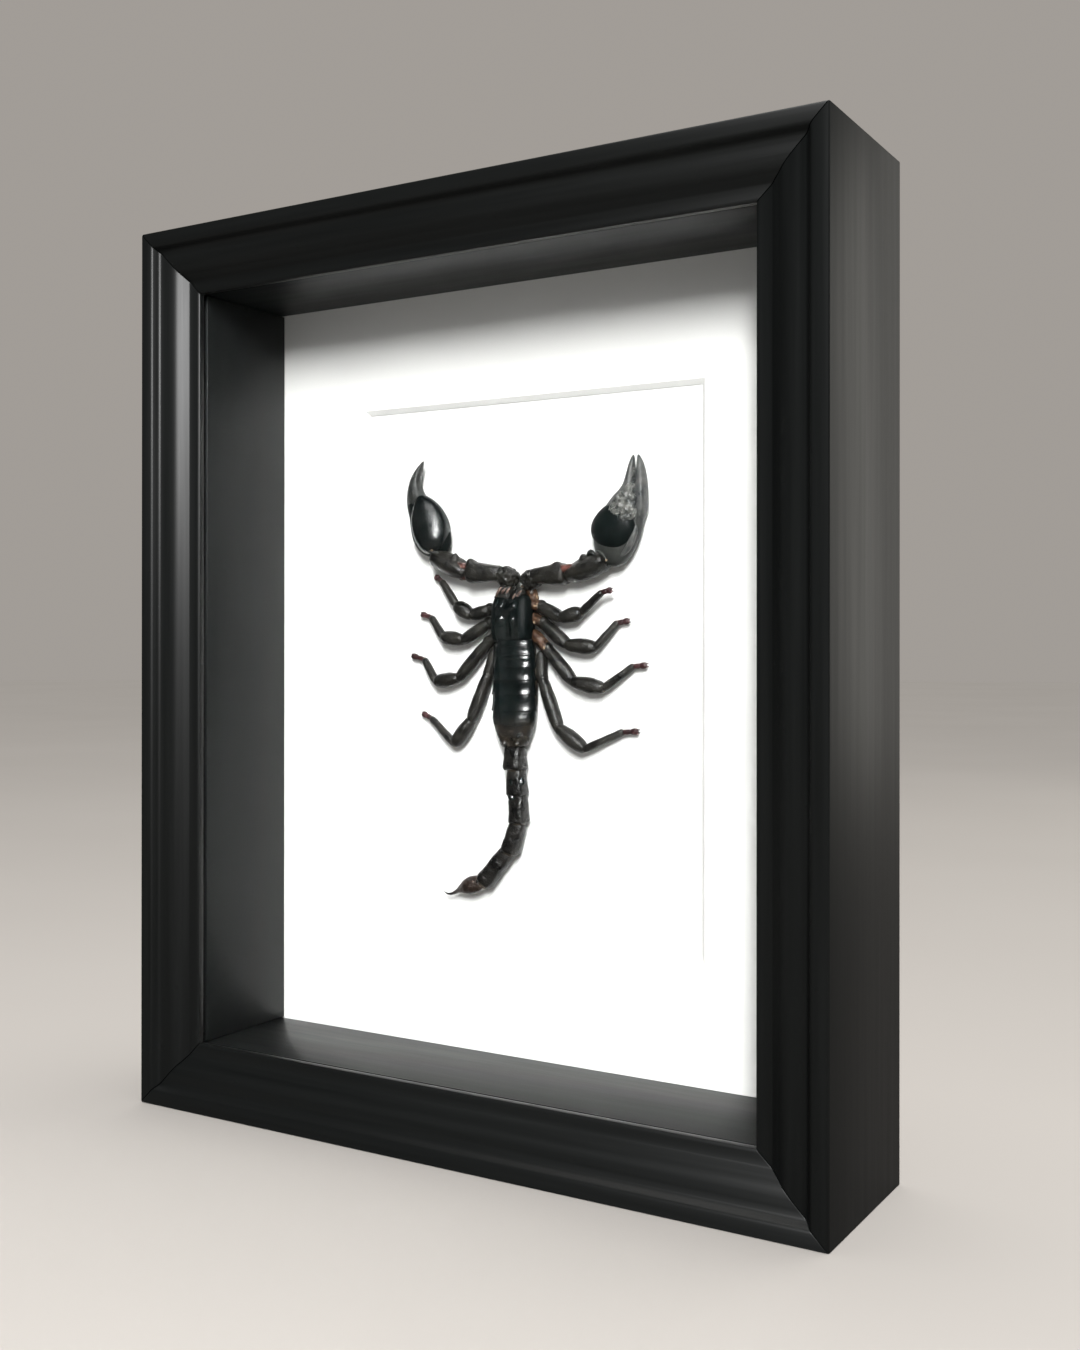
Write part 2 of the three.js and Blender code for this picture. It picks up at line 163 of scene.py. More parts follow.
class Nodes:
    """A node tree under construction: nodes are added by type and joined by their sockets."""

    def __init__(self, tree):
        self.tree = tree

    def add(self, kind, **settings):
        node = self.tree.nodes.new(kind)
        for key, value in settings.items():
            setattr(node, key, value)
        return node

    def join(self, source, target):
        self.tree.links.new(source, target)

    def feed(self, value, socket):
        """Gives an input another node's output, or a plain value."""
        if hasattr(value, "is_output"):
            self.join(value, socket)
        else:
            socket.default_value = value

    def noise(self, vector, scale, detail=3, roughness=0.55):
        node = self.add("ShaderNodeTexNoise")
        self.join(vector, node.inputs["Vector"])
        for key, value in (("Scale", scale), ("Detail", detail), ("Roughness", roughness)):
            self.feed(value, node.inputs[key])
        return node.outputs["Fac"]

    def span(self, value, low, high, start=0.0, end=1.0, curve="LINEAR"):
        node = self.add("ShaderNodeMapRange", interpolation_type=curve)
        for key, number in (("From Min", start), ("From Max", end), ("To Min", low), ("To Max", high)):
            node.inputs[key].default_value = number
        self.join(value, node.inputs["Value"])
        return node.outputs["Result"]

    def ramp(self, factor, *stops):
        node = self.add("ShaderNodeValToRGB")
        ramp = node.color_ramp
        while len(ramp.elements) < len(stops):
            ramp.elements.new(0.5)
        for element, (at, colour) in zip(ramp.elements, stops):
            element.position = at
            element.color = (*colour, 1)
        self.join(factor, node.inputs["Fac"])
        return node.outputs["Color"]

    def mix(self, factor, first, second):
        """A colour between first and second."""
        node = self.add("ShaderNodeMix", data_type="RGBA")
        for socket, value in ((MIX_FACTOR, factor), (MIX_FIRST, first), (MIX_SECOND, second)):
            self.feed(value, node.inputs[socket])
        return node.outputs[MIX_RESULT]

    def bump(self, height, strength, distance, normal=None):
        node = self.add("ShaderNodeBump")
        self.feed(strength, node.inputs["Strength"])
        node.inputs["Distance"].default_value = distance
        self.join(height, node.inputs["Height"])
        if normal is not None:
            self.join(normal, node.inputs["Normal"])
        return node.outputs["Normal"]

    def switch(self, ray, first, second):
        """The second shader for one kind of ray, and the first for all others."""
        test = self.add("ShaderNodeLightPath").outputs[ray]
        either = self.add("ShaderNodeMixShader")
        for source, socket in zip((test, first.outputs[0], second.outputs[0]), either.inputs):
            self.join(source, socket)
        return either.outputs[0]


class Group(Nodes):
    """A group of nodes that takes a Vector and some numbers, and gives out values."""

    def __init__(self, name, outputs, **numbers):
        super().__init__(bpy.data.node_groups.new(name, "ShaderNodeTree"))
        sockets = self.tree.interface
        sockets.new_socket(name="Vector", in_out="INPUT", socket_type="NodeSocketVector")
        for title, value in numbers.items():
            number = sockets.new_socket(name=title, in_out="INPUT", socket_type="NodeSocketFloat")
            number.default_value = value
        for title in outputs:
            sockets.new_socket(name=title, in_out="OUTPUT", socket_type="NodeSocketFloat")
        self.given = self.add("NodeGroupInput").outputs
        self.out = self.add("NodeGroupOutput").inputs


class Finish(Nodes):
    """A material under construction."""

    def __init__(self, name):
        self.material = bpy.data.materials.new(name)
        self.material.use_nodes = True
        super().__init__(self.material.node_tree)
        self.tree.nodes.clear()
        self.output = self.add("ShaderNodeOutputMaterial")
        self.shader = self.add("ShaderNodeBsdfPrincipled")
        self.join(self.shader.outputs[0], self.output.inputs["Surface"])

    def dress(self, colour, roughness, normal=None, **values):
        """Gives the surface its colour, roughness, normal and other values, and returns the material."""
        values.update(Base_Color=colour, Roughness=roughness)
        if normal is not None:
            values["Normal"] = normal
        for key, value in values.items():
            self.feed(value, self.shader.inputs[key.replace("_", " ")])
        return self.material

    def coordinates(self, scale=(1, 1, 1)):
        """Object coordinates, drawn out by scale."""
        place = self.add("ShaderNodeTexCoord")
        mapping = self.add("ShaderNodeMapping")
        mapping.inputs["Scale"].default_value = scale
        self.join(place.outputs["Object"], mapping.inputs["Vector"])
        return mapping.outputs["Vector"]

    def group(self, tree, **values):
        node = self.add("ShaderNodeGroup", node_tree=tree)
        for key, value in values.items():
            self.feed(value, node.inputs[key])
        return node.outputs


def wood_grain_group():
    """Streaks along the wood: the vector comes in already squeezed along the grain."""
    g = Group("wood grain", ("Streaks", "Pores"), Fineness=900.0)
    broad = g.add("ShaderNodeMath", operation="MULTIPLY")
    g.join(g.given["Fineness"], broad.inputs[0])
    broad.inputs[1].default_value = 0.3
    g.join(g.noise(g.given["Vector"], broad.outputs[0], 4, 0.6), g.out["Streaks"])
    g.join(g.noise(g.given["Vector"], g.given["Fineness"], 2, 0.5), g.out["Pores"])
    return g.tree


def granules_group():
    """Rounded granules of a given number to the metre, with bare skin between them."""
    g = Group("cuticle granules", ("Height", "Patches"), Number=1800.0)
    cells = g.add("ShaderNodeTexVoronoi")
    g.join(g.given["Vector"], cells.inputs["Vector"])
    g.join(g.given["Number"], cells.inputs["Scale"])
    g.join(g.span(cells.outputs["Distance"], 1, 0, 0.15, 0.6, "SMOOTHSTEP"), g.out["Height"])
    g.join(g.noise(g.given["Vector"], 320, 3, 0.5), g.out["Patches"])
    return g.tree


wood_grain = wood_grain_group()
granules = granules_group()


def black_lacquer(name, squeeze, roughness, shine=0.34):
    """Satin black lacquer over open grained wood. squeeze draws the grain out along the rail."""
    f = Finish(name)
    grain = f.group(wood_grain, Vector=f.coordinates(squeeze))
    streaks, pores = grain["Streaks"], grain["Pores"]
    colour = f.ramp(streaks, (0.3, (0.0035, 0.0042, 0.0041)), (0.75, (0.0068, 0.0078, 0.0076)))
    rough = f.span(streaks, roughness - 0.03, roughness + 0.05, *NOISE_RANGE)
    relief = f.bump(streaks, 0.05, 0.0001, f.bump(pores, 0.06, 0.0001))
    return f.dress(colour, rough, relief, Specular_IOR_Level=shine)


def board_white(name, colour):
    """Matt paper board with a fine tooth and a few fibres."""
    f = Finish(name)
    place = f.coordinates()
    tooth = f.noise(place, 2600, 4, 0.7)
    cloud = f.noise(place, 60, 2)
    shade = f.ramp(cloud, (0.3, tuple(c * 0.975 for c in colour)), (0.7, colour))
    return f.dress(shade, f.span(tooth, 0.78, 0.95), f.bump(tooth, 0.15, 0.00008), Specular_IOR_Level=0.3)


def clear_glass():
    """Low reflection picture glass. Light from the lamps passes straight through it to the card."""
    f = Finish("picture_glass")
    f.dress((0.985, 0.995, 0.99, 1), 0.0, Transmission_Weight=1.0, IOR=GLASS_INDEX)
    clear = f.add("ShaderNodeBsdfTransparent")
    f.join(f.switch("Is Shadow Ray", f.shader, clear), f.output.inputs["Surface"])
    return f.material


def shiny_shell(name, roughness, shine, relief=0.05):
    """The blue black, almost smooth cuticle of the shield, the back plates and the hands."""
    f = Finish(name)
    place = f.coordinates()
    grain = f.group(granules, Vector=place, Number=2600.0)
    patches = grain["Patches"]
    rough = f.span(patches, roughness - 0.04, roughness + 0.05, *NOISE_RANGE)
    uneven = f.bump(f.noise(place, 420, 3), 0.08, 0.0003)
    normal = f.bump(grain["Height"], relief, 0.0001, uneven)
    return f.dress(f.ramp(patches, *BLUE_BLACK), rough, normal, Specular_IOR_Level=shine)


def dull_shell(name, dark, light, roughness=0.4, number=1900.0, relief=0.36, spots=None):
    """Granular cuticle of the limbs and the tail: dark, lighter where it is worn, and spotted if wished."""
    f = Finish(name)
    place = f.coordinates()
    grain = f.group(granules, Vector=place, Number=number)
    patches = grain["Patches"]
    stops = ((0.35, dark), (0.72, light))
    if spots:
        stops = ((0.35, dark), (0.56, light), (0.63, light), (0.68, spots))
    rough = f.span(patches, roughness - 0.1, roughness + 0.12, *NOISE_RANGE)
    uneven = f.bump(f.noise(place, 650, 4), 0.4, 0.0004)
    normal = f.bump(grain["Height"], relief, 0.0002, uneven)
    return f.dress(f.ramp(patches, *stops), rough, normal)


def worn_shell(name):
    """The last plate of the back: glossy in front, and brown and wrinkled towards the tail."""
    f = Finish(name)
    place = f.coordinates()
    grain = f.group(granules, Vector=place, Number=2000.0)
    patches = grain["Patches"]
    apart = f.add("ShaderNodeSeparateXYZ")
    f.join(place, apart.inputs[0])
    glossy_end, brown_start = (specimen_z - 24.6) * mm, (specimen_z - 28.4) * mm
    worn = f.span(apart.outputs["Z"], 0.0, 1.0, glossy_end, brown_start)
    brown = f.ramp(patches, (0.4, (0.003, 0.0033, 0.003)), (0.62, (0.022, 0.0155, 0.01)))
    colour = f.mix(worn, f.ramp(patches, *BLUE_BLACK), brown)
    uneven = f.bump(f.noise(place, 650, 4), f.span(worn, 0.08, 0.5), 0.0004)
    normal = f.bump(grain["Height"], 0.15, 0.0002, uneven)
    return f.dress(colour, f.span(worn, 0.17, 0.32), normal, Specular_IOR_Level=0.8)


def hardboard():
    f = Finish("hardboard")
    place = f.coordinates()
    fibres = f.noise(place, 900, 5, 0.7)
    cloud = f.noise(place, 45, 3)
    brown = f.ramp(cloud, (0.3, (0.13, 0.075, 0.04)), (0.7, (0.19, 0.115, 0.065)))
    return f.dress(brown, f.span(fibres, 0.6, 0.85), f.bump(fibres, 0.35, 0.0003))


def bright_steel():
    f = Finish("bright_steel")
    brushed = f.noise(f.coordinates((1, 1, 0.05)), 2500, 3)
    rough, normal = f.span(brushed, 0.25, 0.45), f.bump(brushed, 0.15, 0.00005)
    return f.dress((0.55, 0.54, 0.52, 1), rough, normal, Metallic=1.0)


def pale_floor():
    """Pale in the camera's view, and dim to the rest, so that it throws little light up on the rails."""
    f = Finish("pale_floor")
    seen = f.add("ShaderNodeLightPath").outputs["Is Camera Ray"]
    pale = f.ramp(f.noise(f.coordinates(), 3, 2), (0.3, (0.56, 0.53, 0.5)), (0.7, (0.58, 0.55, 0.52)))
    return f.dress(f.mix(seen, (0.13, 0.123, 0.116, 1), pale), 0.75, Specular_IOR_Level=0.1)


upright_lacquer = black_lacquer("upright_lacquer", (1, 1, 0.03), 0.4)
level_lacquer = black_lacquer("level_lacquer", (0.03, 1, 1), 0.4)
upright_lining = black_lacquer("upright_lining", (1, 1, 0.05), 0.42, 0.22)
level_lining = black_lacquer("level_lining", (0.05, 1, 1), 0.42, 0.22)
mat_white = board_white("mat_white", (0.86, 0.855, 0.835))
card_white = board_white("card_white", (0.88, 0.88, 0.865))
glass = clear_glass()
shell = shiny_shell("shiny_shell", 0.17, 0.8)
dome_shell = shiny_shell("dome_shell", 0.21, 0.8, 0.24)
matt_shell = shiny_shell("matt_shell", 0.5, 0.12)
worn_plate = worn_shell("worn_plate")
polished_shell = shiny_shell("polished_shell", 0.14, 1.0)
limb_shell = dull_shell("limb_shell", (0.0022, 0.0024, 0.0021), (0.018, 0.0165, 0.013), 0.37)
hand_shell = dull_shell("hand_shell", (0.01, 0.0118, 0.0112), (0.03, 0.0315, 0.028), 0.38, 2900.0, 0.32)
# Pale grey: partly the right fingers' own tone, and partly a painted reflection of the light
finger_shell_and_sheen = dull_shell("finger_shell_and_sheen", (0.026, 0.029, 0.03), (0.095, 0.095, 0.089), 0.36, 2900.0, 0.34)
# Pale grey: partly the wrinkled ground's own tone, and partly a painted highlight of its glints
knuckle_shell_and_glints = dull_shell("knuckle_shell_and_glints", (0.022, 0.026, 0.027), (0.15, 0.15, 0.135), 0.28, 2400.0, 0.34)
tail_shell = dull_shell("tail_shell", (0.0015, 0.0015, 0.0015), (0.008, 0.0068, 0.0052), 0.32)
sting_shell = dull_shell("sting_shell", (0.006, 0.0045, 0.004), (0.028, 0.015, 0.009), 0.34)
rear_shell = dull_shell("rear_shell", (0.0035, 0.0038, 0.0034), (0.026, 0.019, 0.012), 0.32)
foot_shell = dull_shell("foot_shell", (0.016, 0.006, 0.0065), (0.062, 0.018, 0.019), 0.36)
hip_shell = dull_shell(
    "hip_shell", (0.006, 0.0045, 0.003), (0.055, 0.026, 0.013), 0.32, spots=(0.26, 0.19, 0.115)
)
side_skin = dull_shell("side_skin", (0.012, 0.01, 0.008), (0.07, 0.052, 0.034), 0.45)
joint_skin = dull_shell("joint_skin", (0.06, 0.04, 0.026), (0.34, 0.26, 0.17), 0.4)
# Pale pink: partly the folds' own pink, and partly a painted highlight of the streaks across the jaws
pink_skin_and_highlight = dull_shell("pink_skin_and_highlight", (0.05, 0.03, 0.026), (0.26, 0.17, 0.14), 0.38)
red_skin = dull_shell("red_skin", (0.022, 0.008, 0.006), (0.15, 0.05, 0.036), 0.38)
backing_brown = hardboard()
steel = bright_steel()
floor_finish = pale_floor()


# Frame


# Steps of the rail's section, inward from the outer face and back from the front of the frame
RAIL_SECTION = [
    (0, 0.9), (0.1, 0.42), (0.36, 0.1), (0.85, 0), (4.1, 0), (4.65, 0.14), (5.05, 0.5), (5.75, 1.6),
    (6.2, 2.1), (6.85, 2.35), (8.5, 2.28), (10.3, 2.3), (11.8, 2.5), (13.1, 2.95), (14.1, 3.65),
    (14.8, 4.1), (15.7, 4.5), (16.3, 5.0), (16.9, 5.2), (19.8, 4.9), (20.55, 4.95), (20.9, 5.2),
    (21, 5.65), (21, 7.1), (14.5, 7.1), (14.5, 57.6), (0, 57.6),
]


def rail_strip(length):
    """One rail, drawn upright on the left: the outer wall, then its front edge led along the section."""
    first, last = RAIL_SECTION[0], RAIL_SECTION[-1]
    deselect()
    bpy.ops.mesh.primitive_plane_add(
        size=1,
        location=(-length[1] / 2 * mm, (frame_front + (first[1] + last[1]) / 2) * mm, frame_middle * mm),
        rotation=(0, radians(-90), 0),
    )
    rail = bpy.context.object
    rail.scale = (length[0] * mm, (last[1] - first[1]) * mm, 1)
    settle(rail)
    edit(rail)
    front_edge = (frame_front + first[1] + 0.01) * mm
    pick("EDGE", lambda a, b: a.y < front_edge and b.y < front_edge)
    for (u, d), (v, e) in zip(RAIL_SECTION, RAIL_SECTION[1:]):
        push((v - u) * mm, (e - d) * mm, 0)
    bpy.ops.mesh.select_all(action="SELECT")
    bpy.ops.mesh.remove_doubles(threshold=0.00001)
    return rail


def cut_mitres(length, seam=0.12):
    """Cuts both ends of the rail in edit mode at 45 degrees, a hair short of the corner line."""
    half = length[0] / 2
    for side in (-1, 1):
        bpy.ops.mesh.select_all(action="SELECT")
        corner = Vector((-length[1] / 2, 0, frame_middle + side * (half - seam))) * mm
        bpy.ops.mesh.bisect(
            plane_co=corner, plane_no=Vector((1, 0, side)).normalized(), use_fill=True, clear_outer=True
        )
    bpy.ops.mesh.select_all(action="SELECT")
    bpy.ops.mesh.normals_make_consistent(inside=False)


def turn_about_middle(piece, quarter_turns):
    middle = Matrix.Translation((0, 0, frame_middle * mm))
    turn = Matrix.Rotation(quarter_turns * pi / 2, 4, "Y")
    piece.matrix_world = middle @ turn @ middle.inverted() @ piece.matrix_world
    settle(piece)


def add_rails():
    tall, wide = (frame_height, frame_width), (frame_width, frame_height)
    for name, length, turns, finish in (
        ("frame_rail_left", tall, 0, upright_lacquer),
        ("frame_rail_top", wide, 1, level_lacquer),
        ("frame_rail_right", tall, 2, upright_lacquer),
        ("frame_rail_bottom", wide, 3, level_lacquer),
    ):
        rail = rail_strip(length)
        cut_mitres(length)
        leave_edit()
        ease_edges(rail, 0.22, 50)
        turn_about_middle(rail, turns)
        smooth_by_angle(rail, 28)
        rail.data.materials.append(finish)
        finish_piece(name.replace("frame_", "moulded_"), [rail], "black_wood", name)


def eased_copy(node, name, width, finish, slot):
    """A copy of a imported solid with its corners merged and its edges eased."""
    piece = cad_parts[node].copy()
    piece.data = piece.data.copy()
    piece.parent = None
    piece.matrix_world = Matrix.Identity(4)
    for key in list(piece.keys()):
        if key.startswith("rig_"):
            del piece[key]
    bpy.context.scene.collection.objects.link(piece)
    piece.data.materials.clear()
    piece.data.materials.append(finish)
    edit(piece)
    bpy.ops.mesh.select_all(action="SELECT")
    bpy.ops.mesh.remove_doubles(threshold=0.000005)
    bpy.ops.mesh.dissolve_limited(angle_limit=radians(2))
    leave_edit()
    ease_edges(piece, width, 30)
    smooth_by_angle(piece, 30)
    finish_piece(name, [piece], slot, node)


def add_linings():
    upright, level = ("left", "right"), ("bottom", "top")
    for side in upright + level:
        finish = upright_lining if side in upright else level_lining
        eased_copy(f"spacer_{side}", f"lining_{side}", 0.25, finish, "black_wood")


def add_back():
    eased_copy("backing_board", "hardboard_back", 0.3, backing_brown, "backing")
    eased_copy("sawtooth_hanger", "hanger_plate", 0.15, steel, "steel")
    for number in (1, 2):
        eased_copy(f"hanger_nail_{number}", f"hanger_nail_head_{number}", 0.2, steel, "steel")
        for side in ("left", "right", "bottom", "top"):
            eased_copy(f"flex_point_{side}_{number}", f"point_{side}_{number}", 0.1, steel, "steel")


def dress_boards():
    for node, finish in (("glass_pane", glass), ("mat_board", mat_white), ("specimen_card", card_white)):
        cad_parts[node].material_slots[0].material = finish


# Scorpion


def on_card(at):
    """A point [right of the waist, up from the waist, off the card] in the row frame."""
    x, z, lift = at
    return Vector((specimen_x + x, card_y - lift, specimen_z + z)) * mm


def widen(across, up, centre):
    bpy.ops.transform.resize(value=(across, up, 1), orient_type="LOCAL", center_override=centre)


def limb(stations, finish, sides=12, square=0.0, levels=2, crest=0.0):
    """A closed shell led through stations (middle, half width, half thickness), square to its own line.

    It starts as a ring of radius 1, whose corners are drawn out by square and whose top by crest, and
    ends smoothed by subdivision.
    """
    centres = [on_card(at) for at, _, _ in stations]
    along = (centres[-1] - centres[0]).normalized()
    off = Vector((0, -1, 0))
    off = (off - along * off.dot(along)).normalized()
    turn = Matrix((off.cross(along), off, along)).transposed()
    grow = 3 / (2 + cos(2 * pi / sides))  # what the subdivision takes off a ring
    deselect()
    bpy.ops.mesh.primitive_circle_add(
        vertices=sides, radius=1, fill_type="NGON", location=centres[0], rotation=turn.to_euler()
    )
    piece = bpy.context.object
    edit(piece)
    if square:
        pick("VERT", lambda co: abs(co.x * co.y) > 0.4)
        widen(1 + square, 1 + square, centres[0])
    if crest:
        pick("VERT", lambda co: co.y > 0.9)
        widen(1, 1 + crest, centres[0])
    bpy.ops.mesh.select_mode(type="FACE")
    bpy.ops.mesh.select_all(action="SELECT")
    widen(stations[0][1] * grow * mm, stations[0][2] * grow * mm, centres[0])
    for i in range(1, len(stations)):
        push(*(centres[i] - centres[i - 1]))
        widen(stations[i][1] / stations[i - 1][1], stations[i][2] / stations[i - 1][2], centres[i])
    leave_edit()
    settle(piece)
    apply_modifier(piece, "SUBSURF", levels=levels, render_levels=levels)
    smooth(piece)
    piece.data.materials.append(finish)
    return piece


def between(start, end, t):
    return tuple(a + (b - a) * t for a, b in zip(start, end))


def segment(start, end, wide, thick, outline, finish, sides=12, square=0.0, levels=2, crest=0.0):
    """A limb from start to end whose outline is (place along it, share of the width, share of thickness)."""
    stations = [(between(start, end, t), wide * w, thick * h) for t, w, h in outline]
    return limb(stations, finish, sides, square, levels, crest)


BALL = ((0, 0.3, 0.3), (0.1, 0.66, 0.66), (0.3, 0.95, 0.95), (0.6, 1, 1), (0.85, 0.75, 0.75), (1, 0.3, 0.3))


def bead(at, radius, finish, flat=1.0):
    """A small round body, such as an eye or a tooth of a finger."""
    x, z, lift = at
    low, high = (x, z - radius * 1.05, lift), (x, z + radius * 1.05, lift)
    return segment(low, high, radius, radius * flat, BALL, finish, 6, 0, 1)


def facet(at, radius, finish, drop=0.28, lean=28):
    """A low polished swelling whose top leans to the right and up."""
    x, z, lift = at
    low, high = (x, z - radius, lift + radius * drop), (x, z + radius, lift - radius * drop)
    return roll(segment(low, high, radius, radius * 0.3, BALL, finish, 10, 0, 2), at, lean)


def ridge(points, radius, finish):
    """A thin raised line led through points on the skin."""
    ends = {0: 0.4, len(points) - 1: 0.4}
    stations = [(at, radius * ends.get(i, 1), radius * ends.get(i, 1)) for i, at in enumerate(points)]
    return limb(stations, finish, 6, 0, 1)


def nudge(piece, *moves):
    """Draws the skin nearest a point by (right, up, off the card), fading out over a reach."""
    edit(piece)
    for at, (right, up, off), reach in moves:
        point = on_card(at)
        corners = bmesh.from_edit_mesh(piece.data).verts
        nearest = min((corner.co - point).length for corner in corners)
        pick("VERT", lambda co: (co - point).length < nearest + 0.1 * mm)
        bpy.ops.transform.translate(
            value=(right * mm, -off * mm, up * mm), use_proportional_edit=True,
            proportional_edit_falloff="SMOOTH", proportional_size=reach * mm,
        )
    leave_edit()
    return piece


def roll(piece, at, angle):
    """Turns a piece about the line up the card through a point; a positive angle leans it to the right."""
    point = Matrix.Translation(on_card(at))
    piece.matrix_world = point @ Matrix.Rotation(radians(angle), 4, "Z") @ point.inverted()
    settle(piece)
    return piece


def paint(piece, finish, test):
    """Gives the faces that pass the test another finish."""
    piece.data.materials.append(finish)
    edit(piece)
    pick("FACE", test)
    piece.active_material_index = len(piece.data.materials) - 1
    bpy.ops.object.material_slot_assign()
    leave_edit()
    return piece


def skin_texture(name, kind, size, **settings):
    texture = bpy.data.textures.new(name, kind)
    texture.noise_scale = size * mm
    for key, value in settings.items():
        setattr(texture, key, value)
    return texture


broad_dents = skin_texture("broad_dents", "CLOUDS", 2.6, noise_depth=1)
fine_wrinkles = skin_texture("fine_wrinkles", "CLOUDS", 0.9, noise_depth=2)
curled_wrinkles = skin_texture("curled_wrinkles", "STUCCI", 1.3, stucci_type="PLASTIC", turbulence=6)
warts = skin_texture("warts", "VORONOI", 1.5)


def wrinkle(piece, texture, depth):
    """Moves the finished skin in and out by a texture, over a depth in millimetres."""
    apply_modifier(
        piece, "DISPLACE", texture=texture, strength=depth * mm, mid_level=0.5, texture_coords="LOCAL"
    )
    return piece


POD = ((0, 0.4, 0.4), (0.03, 0.65, 0.65), (0.14, 0.88, 0.88), (0.5, 1, 1), (0.82, 0.94, 0.94),
       (0.97, 0.66, 0.66), (1, 0.4, 0.4))
SHIELD_MIDDLE = -0.7
SHIELD_FLANK = 4.1  # how far from its middle the shield turns matt


def add_carapace():
    stations = [
        ((-0.5, -1.4, 4.4), 5.6, 2.4), ((-0.5, -1.1, 4.5), 6.4, 3.3), ((-0.5, 0.2, 4.7), 6.85, 3.9),
        ((-0.55, 3.2, 4.8), 6.95, 4.2), ((-0.6, 6.2, 4.7), 6.9, 4.2), ((-0.65, 9.4, 4.5), 6.75, 3.9),
        ((-0.7, 11.5, 4.3), 6.45, 3.4), ((-0.75, 12.7, 4.1), 6.0, 2.8), ((-0.8, 13.3, 3.9), 5.2, 2.0),
    ]
    plate = limb(stations, shell, 20, 0.16, 3)
    furrow_plate(plate)
    wrinkle(plate, broad_dents, 0.2)
    shield_x = (specimen_x + SHIELD_MIDDLE) * mm
    paint(plate, matt_shell, lambda middle: abs(middle.x - shield_x) > SHIELD_FLANK * mm)
    eyes = [bead((-0.6 + s * 0.8, 8.8, 8.2), 0.45, shell, 0.8) for s in (-1, 1)]
    side_eyes = [bead((-0.9 + s * 5.2, 12.6 - 0.8 * k, 6.3), 0.3, shell) for s in (-1, 1) for k in (0, 1)]
    finish_piece("back_shield", [plate] + eyes + side_eyes, "glossy_cuticle", "carapace")


def furrow_plate(plate):
    """Sinks the furrow down the middle of the shield, and gives its front the notch between two lobes."""
    furrow = [((SHIELD_MIDDLE, z, 9), (0, 0, -depth), reach) for z, depth, reach in (
        (0.4, 0.5, 2.2), (2.2, 0.8, 2.4), (4.4, 0.7, 2.2), (6.4, 0.55, 1.9), (11.2, 0.7, 1.9),
        (12.8, 0.8, 1.9),
    )]
    notch = [((SHIELD_MIDDLE, 13.1, 4.5), (0, -1.8, -0.6), 2.3)]
    lobes = [((s * 3.4 - 0.8, 13.2, 4.3), (0, 0.6, 0), 2.2) for s in (-1, 1)]
    mound = [((SHIELD_MIDDLE, 8.8, 8.6), (0, 0, 0.35), 1.6)]
    swellings = [((x, z, 9), (0, 0, 0.5), 1.6) for x, z in ((-3.8, 10), (1.0, 10), (-3.3, 5.5), (1.3, 5.5))]
    nudge(plate, *furrow, *notch, *lobes, *mound, *swellings)


BACK_PLATE_EDGES = (-0.9, -2.9, -5.7, -9.4, -13.3, -17.8, -22.9, -33.9)
BACK_PLATE_WIDTHS = (7.1, 7.5, 7.75, 7.85, 7.9, 7.95, 7.95)
FOLDED_PLATE = 2
LAST_PLATE = 6
# The last plate runs out in a taper: how far down it, and the shares of its width and its thickness
LAST_PLATE_STEPS = (
    (-1.5, 0.86, 0.8), (-0.8, 0.92, 0.88), (0, 0.94, 0.9), (0.9, 0.95, 0.91), (2.6, 0.94, 1.03),
    (3.7, 0.905, 1.03), (5.0, 0.855, 0.96), (6.6, 0.785, 0.91), (7.8, 0.735, 0.86), (7.9, 0.72, 0.83),
    (7.9, 0.58, 0.7),
)


def back_plate(number):
    """One plate of the back: flat at first, it climbs to a raised rim that laps over the next plate."""
    start, end = BACK_PLATE_EDGES[number], BACK_PLATE_EDGES[number + 1]
    wide, thick = BACK_PLATE_WIDTHS[number], 3.75 + 0.08 * number
    run = start - end
    climb = min(0.6 * run, 1.9)
    steps = [
        (-1.3, 0.84, 0.76), (-0.7, 0.9, 0.85), (0, 0.945, 0.91), (run - climb, 0.955, 0.915),
        (run - climb * 0.5, 0.98, 0.965), (run - 0.45, 1.0, 1.02), (run - 0.14, 1.0, 1.03),
        (run + 0.04, 0.985, 1.0), (run + 0.05, 0.94, 0.93), (run - 0.1, 0.8, 0.78),
    ]
    finish = shell
    if number == FOLDED_PLATE:
        steps[3:4] = [(0.75, 0.96, 0.985), (0.95, 0.96, 0.98), (1.15, 0.95, 0.92)]
    elif number == LAST_PLATE:
        steps, finish = LAST_PLATE_STEPS, worn_plate
    middle = -0.25 if number else -0.4
    stations = [((middle, start - at, 4.4), wide * w, thick * h) for at, w, h in steps]
    return limb(stations, finish, 16, -0.05)


